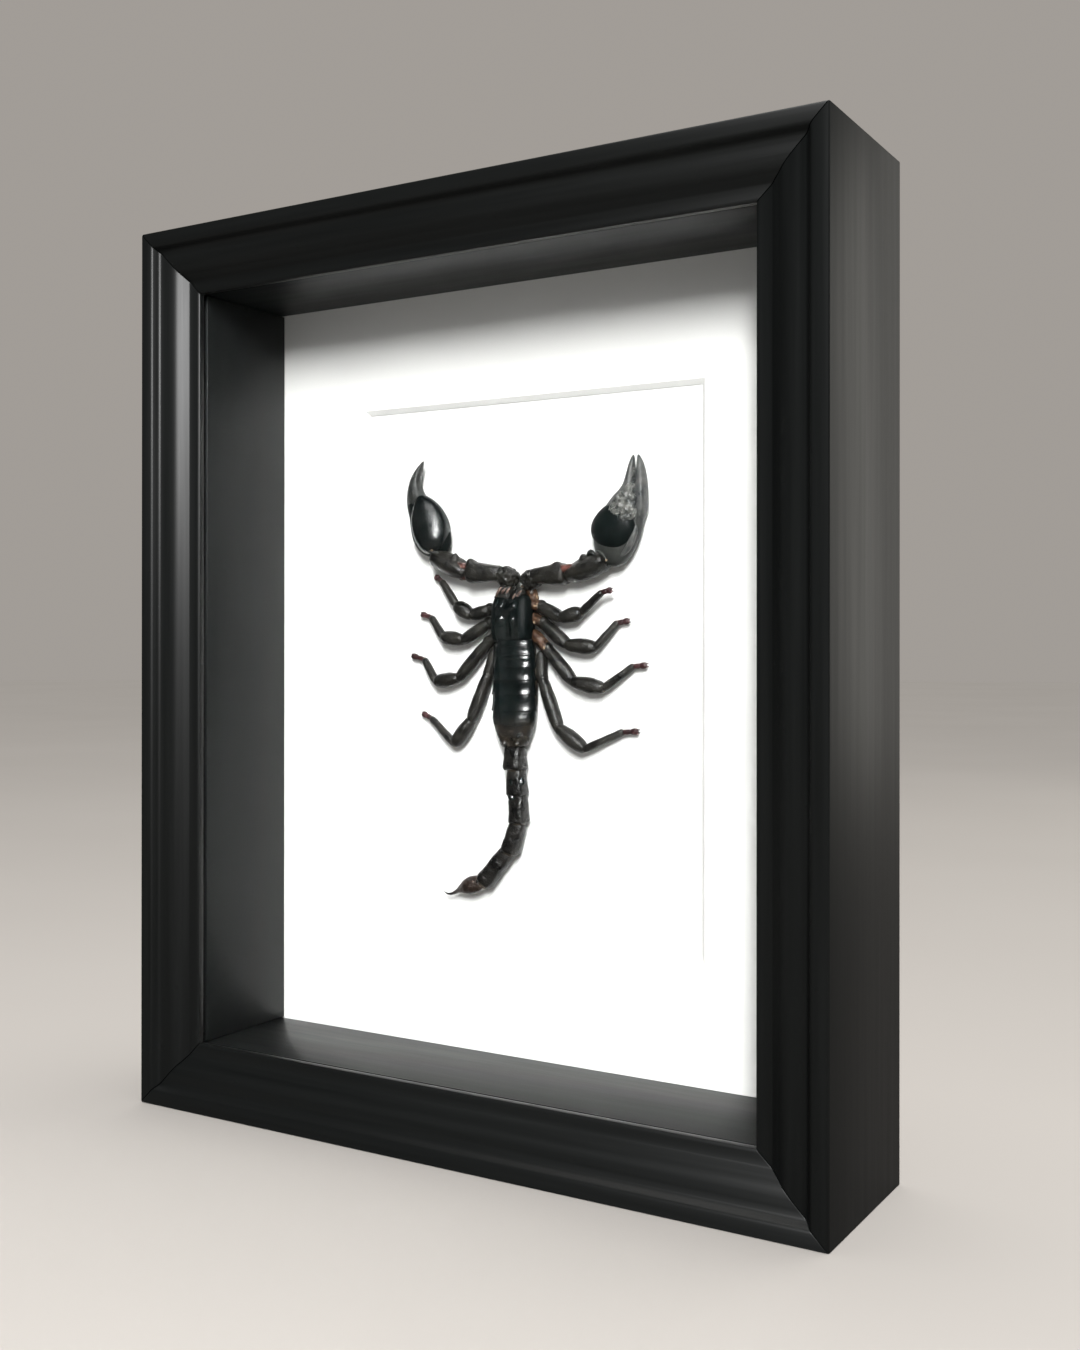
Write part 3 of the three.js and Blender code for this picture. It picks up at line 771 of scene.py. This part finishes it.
def add_abdomen():
    plates = [back_plate(number) for number in range(LAST_PLATE + 1)]
    for plate in plates:
        wrinkle(plate, broad_dents, 0.16)
    wrinkle(plates[LAST_PLATE], fine_wrinkles, 0.14)
    finish_piece("back_plates", plates, "glossy_cuticle", "mesosoma")
    rear = [
        ((-0.25, -28.6, 4.4), 5.0, 2.8), ((-0.25, -29.0, 4.4), 5.5, 3.3), ((-0.25, -30.2, 4.4), 5.5, 3.4),
        ((-0.1, -31.6, 4.4), 5.1, 3.4), ((0, -32.8, 4.4), 4.6, 3.3), ((0.1, -33.8, 4.4), 4.2, 3.0),
        ((0.1, -34.1, 4.4), 3.4, 2.2),
    ]
    rear_ring = nudge(
        limb(rear, rear_shell, 20, 0.1, 3), ((4.6, -31.6, 5), (0.6, -0.3, 0.2), 2.2),
        ((-0.1, -33.0, 8), (0, 0, -0.8), 2.0), ((-2.1, -33.2, 7), (0, 0, 0.6), 1.2),
        ((2.2, -33.2, 7), (0, 0, 0.6), 1.2),
    )
    wrinkle(wrinkle(rear_ring, broad_dents, 0.4), fine_wrinkles, 0.3)
    finish_piece("back_rear_ring", [rear_ring], "dull_cuticle", "mesosoma")
    sides = [
        ((-0.3, 1.4, 3.5), 5.2, 2.2), ((-0.3, -0.6, 3.5), 6.8, 2.7), ((-0.3, -8, 3.5), 7.6, 2.8),
        ((-0.3, -18, 3.5), 7.8, 2.8), ((-0.3, -24, 3.5), 7.3, 2.8), ((-0.3, -29, 3.5), 5.9, 2.7),
        ((-0.3, -33.3, 3.6), 3.6, 2.4),
    ]
    skin = wrinkle(limb(sides, side_skin, 20, 0.1, 3), fine_wrinkles, 0.5)
    finish_piece("side_skin", [skin], "dull_cuticle", "mesosoma")


TAIL = (
    ((-0.1, -33.6, 4.2), (0.0, -41.2, 4.1), 3.55, 3.4),
    ((0.3, -40.7, 4.0), (0.7, -49.2, 3.9), 3.2, 3.2),
    ((0.8, -48.7, 3.8), (1.1, -57.8, 3.7), 3.1, 3.0),
    ((1.0, -57.5, 3.7), (-2.2, -67.3, 3.6), 2.95, 2.9),
    ((-2.6, -66.6, 3.6), (-11.9, -77.6, 3.5), 3.0, 2.8),
)
# Polished spots on the second and third rings, which catch the light
TAIL_WORN_SPOTS = {
    2: ((0.5, -44.7, 6.35), (3.0, -44.6, 5.75)),
    3: ((0.1, -49.3, 6.3), (2.6, -51.9, 5.65)),
}
RINGED = ((0, 0.6, 0.5), (0.03, 0.84, 0.68), (0.1, 0.93, 0.76), (0.3, 0.94, 0.97), (0.6, 0.98, 0.98),
          (0.84, 1.03, 1.05), (0.93, 1.04, 1.04), (0.98, 0.92, 0.9), (1, 0.6, 0.6))


def add_tail():
    for number, (start, end, wide, thick) in enumerate(TAIL, 1):
        body = segment(start, end, wide, thick, RINGED, tail_shell, 16, 0.13, 3)
        for share in (0.25, 0.5, 0.75):
            x, z, lift = between(start, end, share)
            nudge(body, ((x, z, lift + thick), (0, 0, -0.22), 1.7))
        wrinkle(wrinkle(body, broad_dents, 0.4), fine_wrinkles, 0.14)
        gap = between(start, end, 0.9), between(start, end, 1.08)
        skin = segment(*gap, wide * 0.8, thick * 0.8, POD, side_skin, 10, 0, 1)
        x, z, lift = between(start, end, 0.93)
        knobs = [bead((x + s * wide * 0.62, z, lift + thick * 0.72), 0.6, tail_shell) for s in (-1, 1)]
        worn = [facet(at, 1.3, polished_shell) for at in TAIL_WORN_SPOTS.get(number, ())]
        shells = [body, skin] + knobs + worn
        finish_piece(f"tail_ring_{number}", shells, "dull_cuticle", f"tail_segment_{number}")
    bulb = [
        ((-11.4, -76.9, 3.5), 0.9, 0.9), ((-11.9, -77.2, 3.5), 2.0, 1.8), ((-13.4, -77.8, 3.6), 2.7, 2.5),
        ((-16.0, -78.5, 3.7), 3.0, 2.8), ((-18.0, -79.1, 3.7), 2.6, 2.5), ((-19.8, -79.8, 3.6), 1.7, 1.7),
        ((-21.5, -80.6, 3.4), 0.85, 0.85), ((-23.2, -81.6, 3.1), 0.52, 0.52),
        ((-25.0, -82.3, 2.9), 0.4, 0.4), ((-26.5, -82.2, 2.9), 0.28, 0.28), ((-27.5, -81.4, 3.0), 0.1, 0.1),
    ]
    sting = wrinkle(limb(bulb, sting_shell, 12, 0, 3), fine_wrinkles, 0.22)
    finish_piece("sting", [sting], "dull_cuticle", "telson")


# Each jaw: its start, its end, its width and where its pale folds start; their pale pink is partly a painted
# highlight
JAWS = {
    "left": ((-3.6, 10.6, 4.8), (-2.4, 16.8, 3.6), 2.6, ((-5.3, 13.3), (-3.7, 13.2), (-2.0, 13.3))),
    "right": ((1.5, 10.6, 4.8), (2.3, 15.4, 3.6), 2.1, ((0.3, 11.6), (1.9, 12.2))),
}


def add_jaws():
    for side, (start, end, wide, streaks) in JAWS.items():
        base = wrinkle(segment(start, end, wide, 2.7, POD, limb_shell, 12, 0.14, 3), curled_wrinkles, 0.25)
        root, tip = between(start, end, 0.85), between(start, end, 1.2)
        tooth = segment(root, tip, 0.8, 0.7, POD, joint_skin, 8, 0, 1)
        # Pale pink folds along the streaks: partly painted highlights
        folds = [ridge([(x, z, 6.6), (x + 0.9, z + 1.2, 7.1), (x + 1.8, z + 2.4, 6.4)], 0.5, pink_skin_and_highlight)
                 for x, z in streaks]
        finish_piece(f"jaw_{side}", [base, tooth] + folds, "dull_cuticle", f"chelicera_{side}")


ARM_FEMUR = ((0, 0.5, 0.5), (0.03, 0.68, 0.7), (0.12, 0.76, 0.82), (0.35, 0.86, 0.92), (0.65, 1.0, 1.0),
             (0.84, 1.06, 1.04), (0.94, 0.96, 0.98), (1, 0.6, 0.6))
ARM_PATELLA = ((0, 0.45, 0.5), (0.04, 0.66, 0.72), (0.14, 0.8, 0.88), (0.32, 1.0, 1.0), (0.6, 1.0, 1.03),
               (0.85, 0.93, 0.98), (0.96, 0.8, 0.82), (1, 0.5, 0.5))
# The arms: where a segment starts and ends, and the stations of the palm, its dome and the finger
ARMS = {
    "left": {
        "coxa": ((-7.4, 10.6, 2.6), (-4.4, 16.2, 3.0)),
        "trochanter": ((0.6, 17.6, 4.3), (-6.0, 20.2, 4.4)),
        "femur": ((-4.6, 20.0, 4.4), (-17.3, 20.6, 4.5)),
        "patella": ((-16.6, 20.2, 4.4), (-30.2, 26.0, 4.6)),
        "palm": (
            ((-29.2, 26.1, 3.6), 1.6, 1.6), ((-29.3, 26.5, 3.6), 3.2, 2.3), ((-29.9, 27.8, 3.6), 5.1, 2.9),
            ((-30.7, 29.8, 3.7), 6.4, 3.4), ((-31.8, 33.2, 3.8), 7.2, 3.6), ((-33.1, 37.2, 3.8), 6.7, 3.1),
            ((-34.9, 41.0, 3.9), 5.2, 2.8), ((-36.9, 44.6, 4.1), 3.3, 2.7), ((-38.0, 47.8, 4.2), 2.4, 2.5),
            ((-37.8, 51.2, 4.2), 1.9, 2.0), ((-36.5, 54.4, 4.2), 1.3, 1.4), ((-34.7, 57.2, 4.1), 0.3, 0.3),
        ),
        "dome": (
            ((-29.6, 27.0, 5.0), 1.2, 1.2), ((-29.6, 27.5, 5.0), 2.8, 2.6), ((-29.6, 28.8, 5.0), 4.5, 3.8),
            ((-30.0, 31.0, 5.0), 5.7, 4.4), ((-30.8, 34.2, 4.9), 6.4, 3.9), ((-31.8, 37.4, 4.8), 6.2, 3.25),
            ((-32.7, 40.4, 4.7), 5.3, 2.6), ((-33.5, 42.8, 4.5), 4.0, 2.1), ((-34.3, 44.7, 4.3), 2.5, 1.7),
            ((-34.9, 46.0, 4.0), 1.0, 1.0),
        ),
        "finger": (
            ((-39.2, 36.5, 2.4), 0.5, 0.8), ((-39.4, 37.4, 2.4), 0.9, 1.3), ((-40.1, 40.2, 2.5), 1.2, 1.7),
            ((-40.7, 44.0, 2.5), 1.2, 1.8), ((-40.7, 48.2, 2.4), 1.1, 1.6), ((-39.7, 51.6, 2.3), 1.0, 1.4),
            ((-38.1, 54.4, 2.2), 0.8, 1.0), ((-36.0, 56.8, 2.1), 0.2, 0.2),
        ),
    },
    "right": {
        "coxa": ((6.3, 11.0, 2.6), (4.4, 16.0, 3.0)),
        "trochanter": ((3.4, 16.4, 4.2), (8.0, 19.2, 4.4)),
        "femur": ((6.4, 19.0, 4.4), (19.2, 19.3, 4.5)),
        "patella": ((18.6, 18.6, 4.4), (32.8, 23.4, 4.6)),
        "palm": (
            ((33.0, 21.4, 3.6), 1.8, 1.6), ((33.1, 21.8, 3.6), 3.2, 2.3), ((33.3, 23.2, 3.6), 4.8, 2.9),
            ((33.8, 26.2, 3.7), 6.6, 3.2), ((34.9, 30.4, 3.8), 7.7, 3.4), ((36.6, 34.8, 3.8), 7.5, 3.4),
            ((38.3, 38.8, 3.9), 6.2, 3.4), ((38.9, 41.6, 4.1), 4.5, 3.2), ((39.4, 43.4, 4.2), 2.9, 2.8),
            ((39.75, 45.6, 4.2), 1.75, 2.3), ((40.2, 49.4, 4.2), 1.2, 1.8), ((40.6, 52.2, 4.2), 0.85, 1.2),
            ((40.9, 54.4, 4.1), 0.25, 0.3),
        ),
        "dome": (
            ((34.2, 26.2, 5.0), 1.4, 1.0), ((34.1, 26.7, 5.0), 3.6, 2.0), ((34.0, 27.9, 5.0), 5.5, 3.1),
            ((34.0, 29.9, 5.0), 7.0, 3.9), ((34.4, 32.2, 4.9), 7.8, 4.2), ((34.9, 34.5, 4.8), 7.7, 4.0),
            ((35.2, 36.6, 4.7), 6.4, 3.5), ((35.2, 38.4, 4.5), 4.6, 2.8), ((35.3, 39.8, 4.2), 2.8, 1.9),
            ((35.3, 40.6, 4.0), 1.0, 0.9),
        ),
        "finger": (
            ((42.0, 34.0, 3.4), 0.9, 1.0), ((42.2, 34.9, 3.5), 1.9, 1.9), ((42.9, 38.0, 3.7), 2.4, 2.5),
            ((43.3, 42.2, 3.9), 2.1, 2.5), ((43.5, 46.4, 4.0), 1.7, 2.2), ((43.3, 50.0, 4.0), 1.3, 1.8),
            ((42.9, 52.6, 3.9), 0.8, 1.2), ((42.3, 54.4, 3.8), 0.2, 0.3),
        ),
    },
}
FINGER_FINISHES = {"left": hand_shell, "right": finger_shell_and_sheen}
DOME_FINISHES = {"left": dome_shell, "right": matt_shell}
DOME_ROLLS = {"left": 20, "right": -9}  # degrees that the domes lean
FINGER_ROOTS = {"left": 43.2, "right": 38.5}  # how far up the fixed fingers begin
FEMUR_CORNERS = {
    "left": ((-15.2, 23.4, 6), (-0.1, 1.2, 0.6), 2.2), "right": ((15.6, 22.2, 6), (0.2, 0.7, 0.5), 2.4),
}
PATELLA_TEETH = {
    "left": ((-21.3, 24.9, 6), (0.5, 1.2, 0.6), 1.5), "right": ((25.3, 23.4, 6), (-0.2, 0.9, 0.6), 1.9),
}
ELBOW_SKIN = {
    "left": ((-16.9, 21.9, 6.2), (-20.9, 23.2, 6.4)), "right": ((16.4, 20.7, 6.3), (24.6, 20.9, 6.6)),
}
COLLAR_FOLDS = {
    "left": [
        ([(-31.6, 28.4, 6.6), (-30.0, 27.4, 7.4), (-28.2, 27.0, 7.5), (-26.6, 27.2, 7.0)], 0.7, hand_shell),
    ],
    "right": [
        ([(30.0, 25.9, 7.2), (31.3, 25.6, 7.6), (32.5, 24.8, 7.6), (33.4, 23.2, 7.2)], 0.6, hand_shell),
        ([(26.0, 24.2, 5.4), (27.2, 25.6, 6.4), (28.6, 25.6, 7.0), (29.8, 24.6, 7.2)], 0.9, hand_shell),
        # The ridge along the right hand's outer edge, whose pale grey is partly a painted highlight
        ([(42.5, 34.4, 5.2), (42.1, 31.0, 5.6), (40.9, 27.8, 5.7), (38.9, 25.2, 5.6), (36.6, 23.4, 5.4)],
         1.0, finger_shell_and_sheen),
    ],
}
COLLAR_SPOTS = {"left": ((-29.0, 27.8, 7.7), (-28.9, 26.4, 7.0)), "right": ((33.5, 22.9, 7.4),)}


def arm_palm(side):
    """The palm with its fixed finger. The left is matt below the finger, and the right finger is pale grey,
    partly its own tone and partly a painted reflection.
    """
    palm = limb(ARMS[side]["palm"], hand_shell, 16, 0.06, 3)
    root = (specimen_z + FINGER_ROOTS[side]) * mm
    if side == "left":
        return paint(palm, matt_shell, lambda middle: middle.z < root)
    return paint(palm, finger_shell_and_sheen, lambda middle: middle.z > root)


def arm_collar(side):
    """The folded skin round the wrist, where the hand turns on the arm."""
    folds = [ridge(*fold) for fold in COLLAR_FOLDS[side]]
    return join("collar", folds + [bead(spot, 0.42, joint_skin) for spot in COLLAR_SPOTS[side]])


def add_arms():
    for side, arm in ARMS.items():
        palm = arm_palm(side)
        parts = {
            "coxa": segment(*arm["coxa"], 1.7, 1.9, POD, hip_shell, 12, 0, 3),
            "trochanter": segment(*arm["trochanter"], 3.1, 3.0, POD, limb_shell, 14, 0.1, 3),
            "femur": segment(*arm["femur"], 3.3, 3.2, ARM_FEMUR, limb_shell, 16, 0.2, 3, 0.14),
            "patella": segment(*arm["patella"], 3.5, 3.3, ARM_PATELLA, limb_shell, 16, 0.04, 3, 0.34),
            "hand": join("palm", [palm, arm_collar(side)]),
            "movable_finger": limb(arm["finger"], FINGER_FINISHES[side], 12, 0.05, 3),
        }
        nudge(parts["femur"], FEMUR_CORNERS[side])
        nudge(parts["patella"], PATELLA_TEETH[side])
        for name, texture, depth in (
            ("coxa", fine_wrinkles, 0.5), ("trochanter", warts, 0.9), ("trochanter", fine_wrinkles, 0.2),
            ("femur", broad_dents, 0.35), ("femur", fine_wrinkles, 0.08), ("patella", broad_dents, 0.35),
            ("patella", fine_wrinkles, 0.08), ("hand", fine_wrinkles, 0.1),
            ("movable_finger", fine_wrinkles, 0.1),
        ):
            wrinkle(parts[name], texture, depth)
        for name, piece in parts.items():
            finish_piece(f"arm_{side}_{name}", [piece], "dull_cuticle", f"pedipalp_{side}_{name}")
        dome, top = limb(arm["dome"], DOME_FINISHES[side], 20, 0, 3), arm["dome"][4][0]
        roll(dome, top, DOME_ROLLS[side])
        finish_piece(f"arm_{side}_dome", [dome], "glossy_cuticle", f"pedipalp_{side}_hand")
        bend = between(*arm["femur"], 0.9), between(*arm["femur"], 1.3)
        skin = [segment(*bend, 2.6, 2.6, POD, red_skin), segment(*ELBOW_SKIN[side], 1.4, 1.5, POD, red_skin)]
        elbow = wrinkle(join("elbow", skin), curled_wrinkles, 0.4)
        finish_piece(f"arm_{side}_elbow", [elbow], "dull_cuticle", f"pedipalp_{side}_patella")


def add_knuckle():
    """The wrinkled ground of the right hand between its dome and its fingers, in a pale grey that is partly
    a painted highlight, with pale beads painted as highlights where its glints fall, and the finger's teeth.
    """
    ground = [
        ((36.6, 32.8, 6.4), 1.2, 0.6), ((36.9, 33.6, 6.6), 2.8, 1.3), ((37.8, 35.6, 6.8), 4.2, 1.9),
        ((38.8, 38.2, 6.7), 4.3, 1.9), ((39.8, 40.8, 6.4), 3.4, 1.7), ((40.6, 43.2, 6.0), 2.2, 1.3),
        ((41.2, 45.0, 5.7), 1.1, 0.9), ((41.4, 46.0, 5.5), 0.3, 0.3),
    ]
    patch = wrinkle(wrinkle(limb(ground, knuckle_shell_and_glints, 16, 0, 3), curled_wrinkles, 0.8), warts, 0.6)
    ring = [(37.4 + 1.1 * cos(a * pi / 4), 37.4 + 1.1 * sin(a * pi / 4), 8.5) for a in range(8)]
    folds = [ridge([(34.5, 37.2, 7.4), (35.1, 38.8, 7.9), (35.9, 40.2, 7.6)], 0.45, knuckle_shell_and_glints)]
    # Pale beads where the patch's glints fall: painted highlights
    spots = ((40.2, 38.0, 8.5), (39.4, 36.6, 8.6), (41.9, 36.2, 7.9), (39.6, 34.6, 8.2), (39.0, 42.8, 7.6),
             (41.7, 43.0, 7.0), (41.3, 41.7, 7.6), (38.2, 40.6, 8.2))
    dots = [bead(at, 0.45, knuckle_shell_and_glints) for at in spots] + [bead(at, 0.3, knuckle_shell_and_glints) for at in ring]
    teeth = [
        bead((41.6 + 0.1 * (k % 2), 44.4 + 0.95 * k, 5.2), 0.42 - 0.02 * k, knuckle_shell_and_glints) for k in range(8)
    ]
    finish_piece("finger_joint", [patch] + folds + dots + teeth, "dull_cuticle", "pedipalp_right_hand")


# Each leg's joints: the body, the trochanter, the two knees, the ankle and the tip
LEGS = {
    "left_1": ((-5.2, 9.6, 2.2), (-10.2, 8.9, 2.6), (-16.6, 7.0, 3.4), (-22.4, 10.4, 3.3),
               (-29.0, 18.0, 1.7), (-31.9, 19.9, 1.4)),
    "left_2": ((-5.2, 6.2, 2.2), (-10.6, 4.5, 2.6), (-19.6, -0.9, 3.4), (-27.7, 0.2, 3.2),
               (-33.0, 6.5, 1.7), (-37.5, 7.7, 1.4)),
    "left_3": ((-5.8, 2.3, 2.2), (-10.6, -1.4, 2.8), (-21.3, -13.0, 3.4), (-30.3, -14.2, 3.2),
               (-35.8, -7.2, 1.7), (-41.2, -5.8, 1.4)),
    "left_4": ((-8.2, -3.0, 2.2), (-10.8, -11.6, 2.6), (-16.7, -26.2, 3.2), (-23.1, -34.2, 3.0),
               (-33.0, -26.2, 1.7), (-36.9, -24.6, 1.4)),
    "right_1": ((4.4, 10.4, 2.4), (8.6, 9.6, 2.8), (16.1, 5.9, 3.4), (23.0, 7.5, 3.6),
                (30.4, 13.5, 4.4), (34.0, 14.2, 4.6)),
    "right_2": ((4.4, 6.8, 2.4), (9.2, 4.6, 2.8), (18.0, -2.2, 3.4), (27.8, -3.1, 3.3),
                (34.4, 4.3, 1.8), (38.3, 5.0, 1.5)),
    "right_3": ((5.0, 2.0, 2.4), (10.8, -3.4, 2.9), (20.0, -13.4, 3.4), (30.4, -15.5, 3.3),
                (39.6, -8.8, 1.8), (44.2, -8.3, 1.5)),
    "right_4": ((8.2, -4.4, 2.2), (8.9, -12.6, 2.7), (15.0, -27.8, 3.3), (23.9, -34.0, 3.2),
                (36.1, -28.5, 1.8), (41.4, -28.1, 1.5)),
}
LEG_OUTLINES = (
    ((0, 0.5, 0.5), (0.1, 0.85, 0.85), (0.4, 1, 1), (0.7, 0.9, 0.9), (0.86, 1.0, 1.0), (0.97, 0.8, 0.8),
     (1, 0.5, 0.5)),
    ((0, 0.5, 0.5), (0.03, 0.7, 0.75), (0.12, 0.84, 0.9), (0.35, 0.98, 1.0), (0.68, 1.06, 1.0),
     (0.9, 0.9, 0.92), (0.98, 0.66, 0.7), (1, 0.45, 0.5)),
    ((0, 0.5, 0.55), (0.05, 0.72, 0.8), (0.16, 0.8, 0.88), (0.36, 1.0, 1.0), (0.62, 1.05, 1.0),
     (0.84, 0.92, 0.9), (0.97, 0.62, 0.7), (1, 0.4, 0.45)),
    ((0, 0.6, 0.6), (0.06, 0.86, 0.86), (0.2, 1.0, 1.0), (0.45, 0.92, 0.95), (0.8, 0.8, 0.85),
     (0.95, 0.86, 0.86), (1, 0.5, 0.5)),
)
LEG_WIDTHS = (1.8, 2.0, 2.3, 1.3)
# The legs whose brown hips show beside the shield, with tan beads on them: the second leg's is a worn tan
# spot, and the third leg's is a painted highlight on its trochanter
HIP_SPOTS_AND_GLINT = {"right_1": (), "right_2": ((7.0, 4.6, 4.2),), "right_3": ((10.6, -3.3, 4.5),)}


def add_leg(name, joints):
    parts = [bead(joints[1], 2.0, limb_shell, 0.95)]
    # Pale tan beads: a worn spot, and on the third right leg a painted highlight
    parts += [bead(at, 0.5, joint_skin) for at in HIP_SPOTS_AND_GLINT.get(name, ())]
    for i, (wide, outline) in enumerate(zip(LEG_WIDTHS, LEG_OUTLINES)):
        start, end = joints[i], joints[i + 1]
        thick = min(wide, start[2], end[2]) * 0.95
        finish = hip_shell if i == 0 and name in HIP_SPOTS_AND_GLINT else limb_shell
        ends = between(start, end, -0.04), between(start, end, 1.05)
        shaft = segment(*ends, wide, thick, outline, finish, 12, 0.08, 2, 0.14)
        rough = 0.45 if finish == hip_shell else 0.1
        parts.append(wrinkle(wrinkle(shaft, broad_dents, 0.35), fine_wrinkles, rough))
    parts += leg_knees(joints) + leg_foot(joints[4], joints[5])
    finish_piece(f"walking_leg_{name}", parts, "dull_cuticle", f"leg_{name}")


def leg_knees(joints):
    """Tan joint skin in the bends, with a worn knob over each knee."""
    knees = [bead(joints[i], radius, joint_skin, 0.9) for i, radius in ((2, 1.15), (3, 1.0), (4, 0.8))]
    for i, wide in ((2, 1.7), (3, 1.2)):
        x, z, lift = between(joints[i], joints[i - 1], 0.08)
        knees.append(bead((x, z + 0.3, lift + wide), 0.5, limb_shell, 0.8))
    return knees


def leg_foot(ankle, tip):
    """The two pieces of the foot, the lobes of its end and a pair of claws."""
    halfway, end = between(ankle, tip, 0.5), between(ankle, tip, 0.97)
    first = segment(ankle, between(ankle, tip, 0.58), 0.85, 0.8, POD, foot_shell, 10, 0.05)
    second = segment(halfway, end, 1.05, 0.85, POD, foot_shell, 10, 0.05)
    run = Vector(tip) - Vector(ankle)
    across = Vector((-run.y, run.x, 0)).normalized()
    claws = []
    for side in (-1, 1):
        root = Vector(between(ankle, tip, 0.88)) + across * 0.3 * side
        middle = Vector(tip) + across * 0.5 * side + Vector((0, 0, 0.15))
        point = Vector(tip) + run.normalized() * 0.45 + across * 0.45 * side + Vector((0, 0, -0.45))
        claws.append(ridge([tuple(root), tuple(middle), tuple(point)], 0.24, foot_shell))
    return [wrinkle(first, fine_wrinkles, 0.15), wrinkle(second, fine_wrinkles, 0.15)] + claws


# Studio


def add_floor():
    deselect()
    bpy.ops.mesh.primitive_circle_add(vertices=96, radius=6, fill_type="NGON")
    floor = bpy.context.object
    floor.name = "floor"
    floor.data.materials.append(floor_finish)


def add_world():
    """Even light that is dim on the object, with a pale backdrop in the camera's view."""
    world = bpy.data.worlds.new("studio")
    bpy.context.scene.world = world
    world.use_nodes = True
    n = Nodes(world.node_tree)
    n.tree.nodes.clear()
    dim, pale = n.add("ShaderNodeBackground"), n.add("ShaderNodeBackground")
    dim.inputs["Color"].default_value = (1, 0.98, 0.95, 1)
    dim.inputs["Strength"].default_value = 0.04
    pale.inputs["Color"].default_value = (0.36, 0.335, 0.31, 1)
    n.join(n.switch("Is Camera Ray", dim, pale), n.add("ShaderNodeOutputWorld").inputs["Surface"])


def add_object(name, data):
    thing = bpy.data.objects.new(name, data)
    bpy.context.scene.collection.objects.link(thing)
    return thing


def add_softbox(name, azimuth, elevation, distance, size, power, colour=(1, 1, 1)):
    """A rectangular soft light that faces the middle of the frame. Azimuth 0 is straight in front."""
    a, e = radians(azimuth), radians(elevation)
    middle = Vector((0, 0, frame_middle * mm))
    towards = Vector((sin(a) * cos(e), -cos(a) * cos(e), sin(e)))
    light = bpy.data.lights.new(name, "AREA")
    light.shape = "RECTANGLE"
    light.size, light.size_y = size
    light.energy = power
    light.color = colour
    lamp = add_object(name, light)
    lamp.location = middle + towards * distance
    lamp.rotation_euler = towards.to_track_quat("Z", "Y").to_euler()


def add_lights():
    add_softbox("key_softbox", 26.6, 26, distance=1.6, size=(0.2, 0.56), power=32)
    add_softbox("left_softbox", -50, 17, distance=1.6, size=(0.9, 0.7), power=0.25)
    add_softbox("side_softbox", 146, -2, distance=1.3, size=(1.0, 1.5), power=5.2, colour=(1, 0.97, 0.9))
    overhead = bpy.data.lights.new("overhead", "SUN")
    overhead.energy = 1.9
    overhead.angle = radians(50)
    overhead.color = (1, 0.98, 0.95)
    add_object("overhead", overhead).rotation_euler = (radians(-6), 0, 0)


def add_camera():
    """The view of the photo, as fitted to the edges of the frame."""
    yaw, pitch, lean = radians(32.2528), radians(0.0714), radians(-0.0386)
    ahead = Vector((-sin(yaw) * cos(pitch), cos(yaw) * cos(pitch), sin(pitch)))
    right = Vector((cos(yaw), sin(yaw), 0))
    up = right.cross(ahead)
    right, up = right * cos(lean) - up * sin(lean), up * cos(lean) + right * sin(lean)
    camera = bpy.data.cameras.new("camera")
    camera.lens = 40.587
    camera.shift_x = 0.04277
    camera.shift_y = -0.02449
    camera.clip_start = 0.01
    viewer = add_object("camera", camera)
    turn = Matrix((right, up, -ahead)).transposed().to_4x4()
    viewer.matrix_world = Matrix.Translation((0.24301, -0.39030, 0.14950)) @ turn
    bpy.context.scene.camera = viewer


add_camera()
add_world()
add_lights()
add_floor()
dress_boards()
add_rails()
add_linings()
add_back()
add_carapace()
add_abdomen()
add_tail()
add_jaws()
add_arms()
for leg_name, leg_joints in LEGS.items():
    add_leg(leg_name, leg_joints)
add_knuckle()
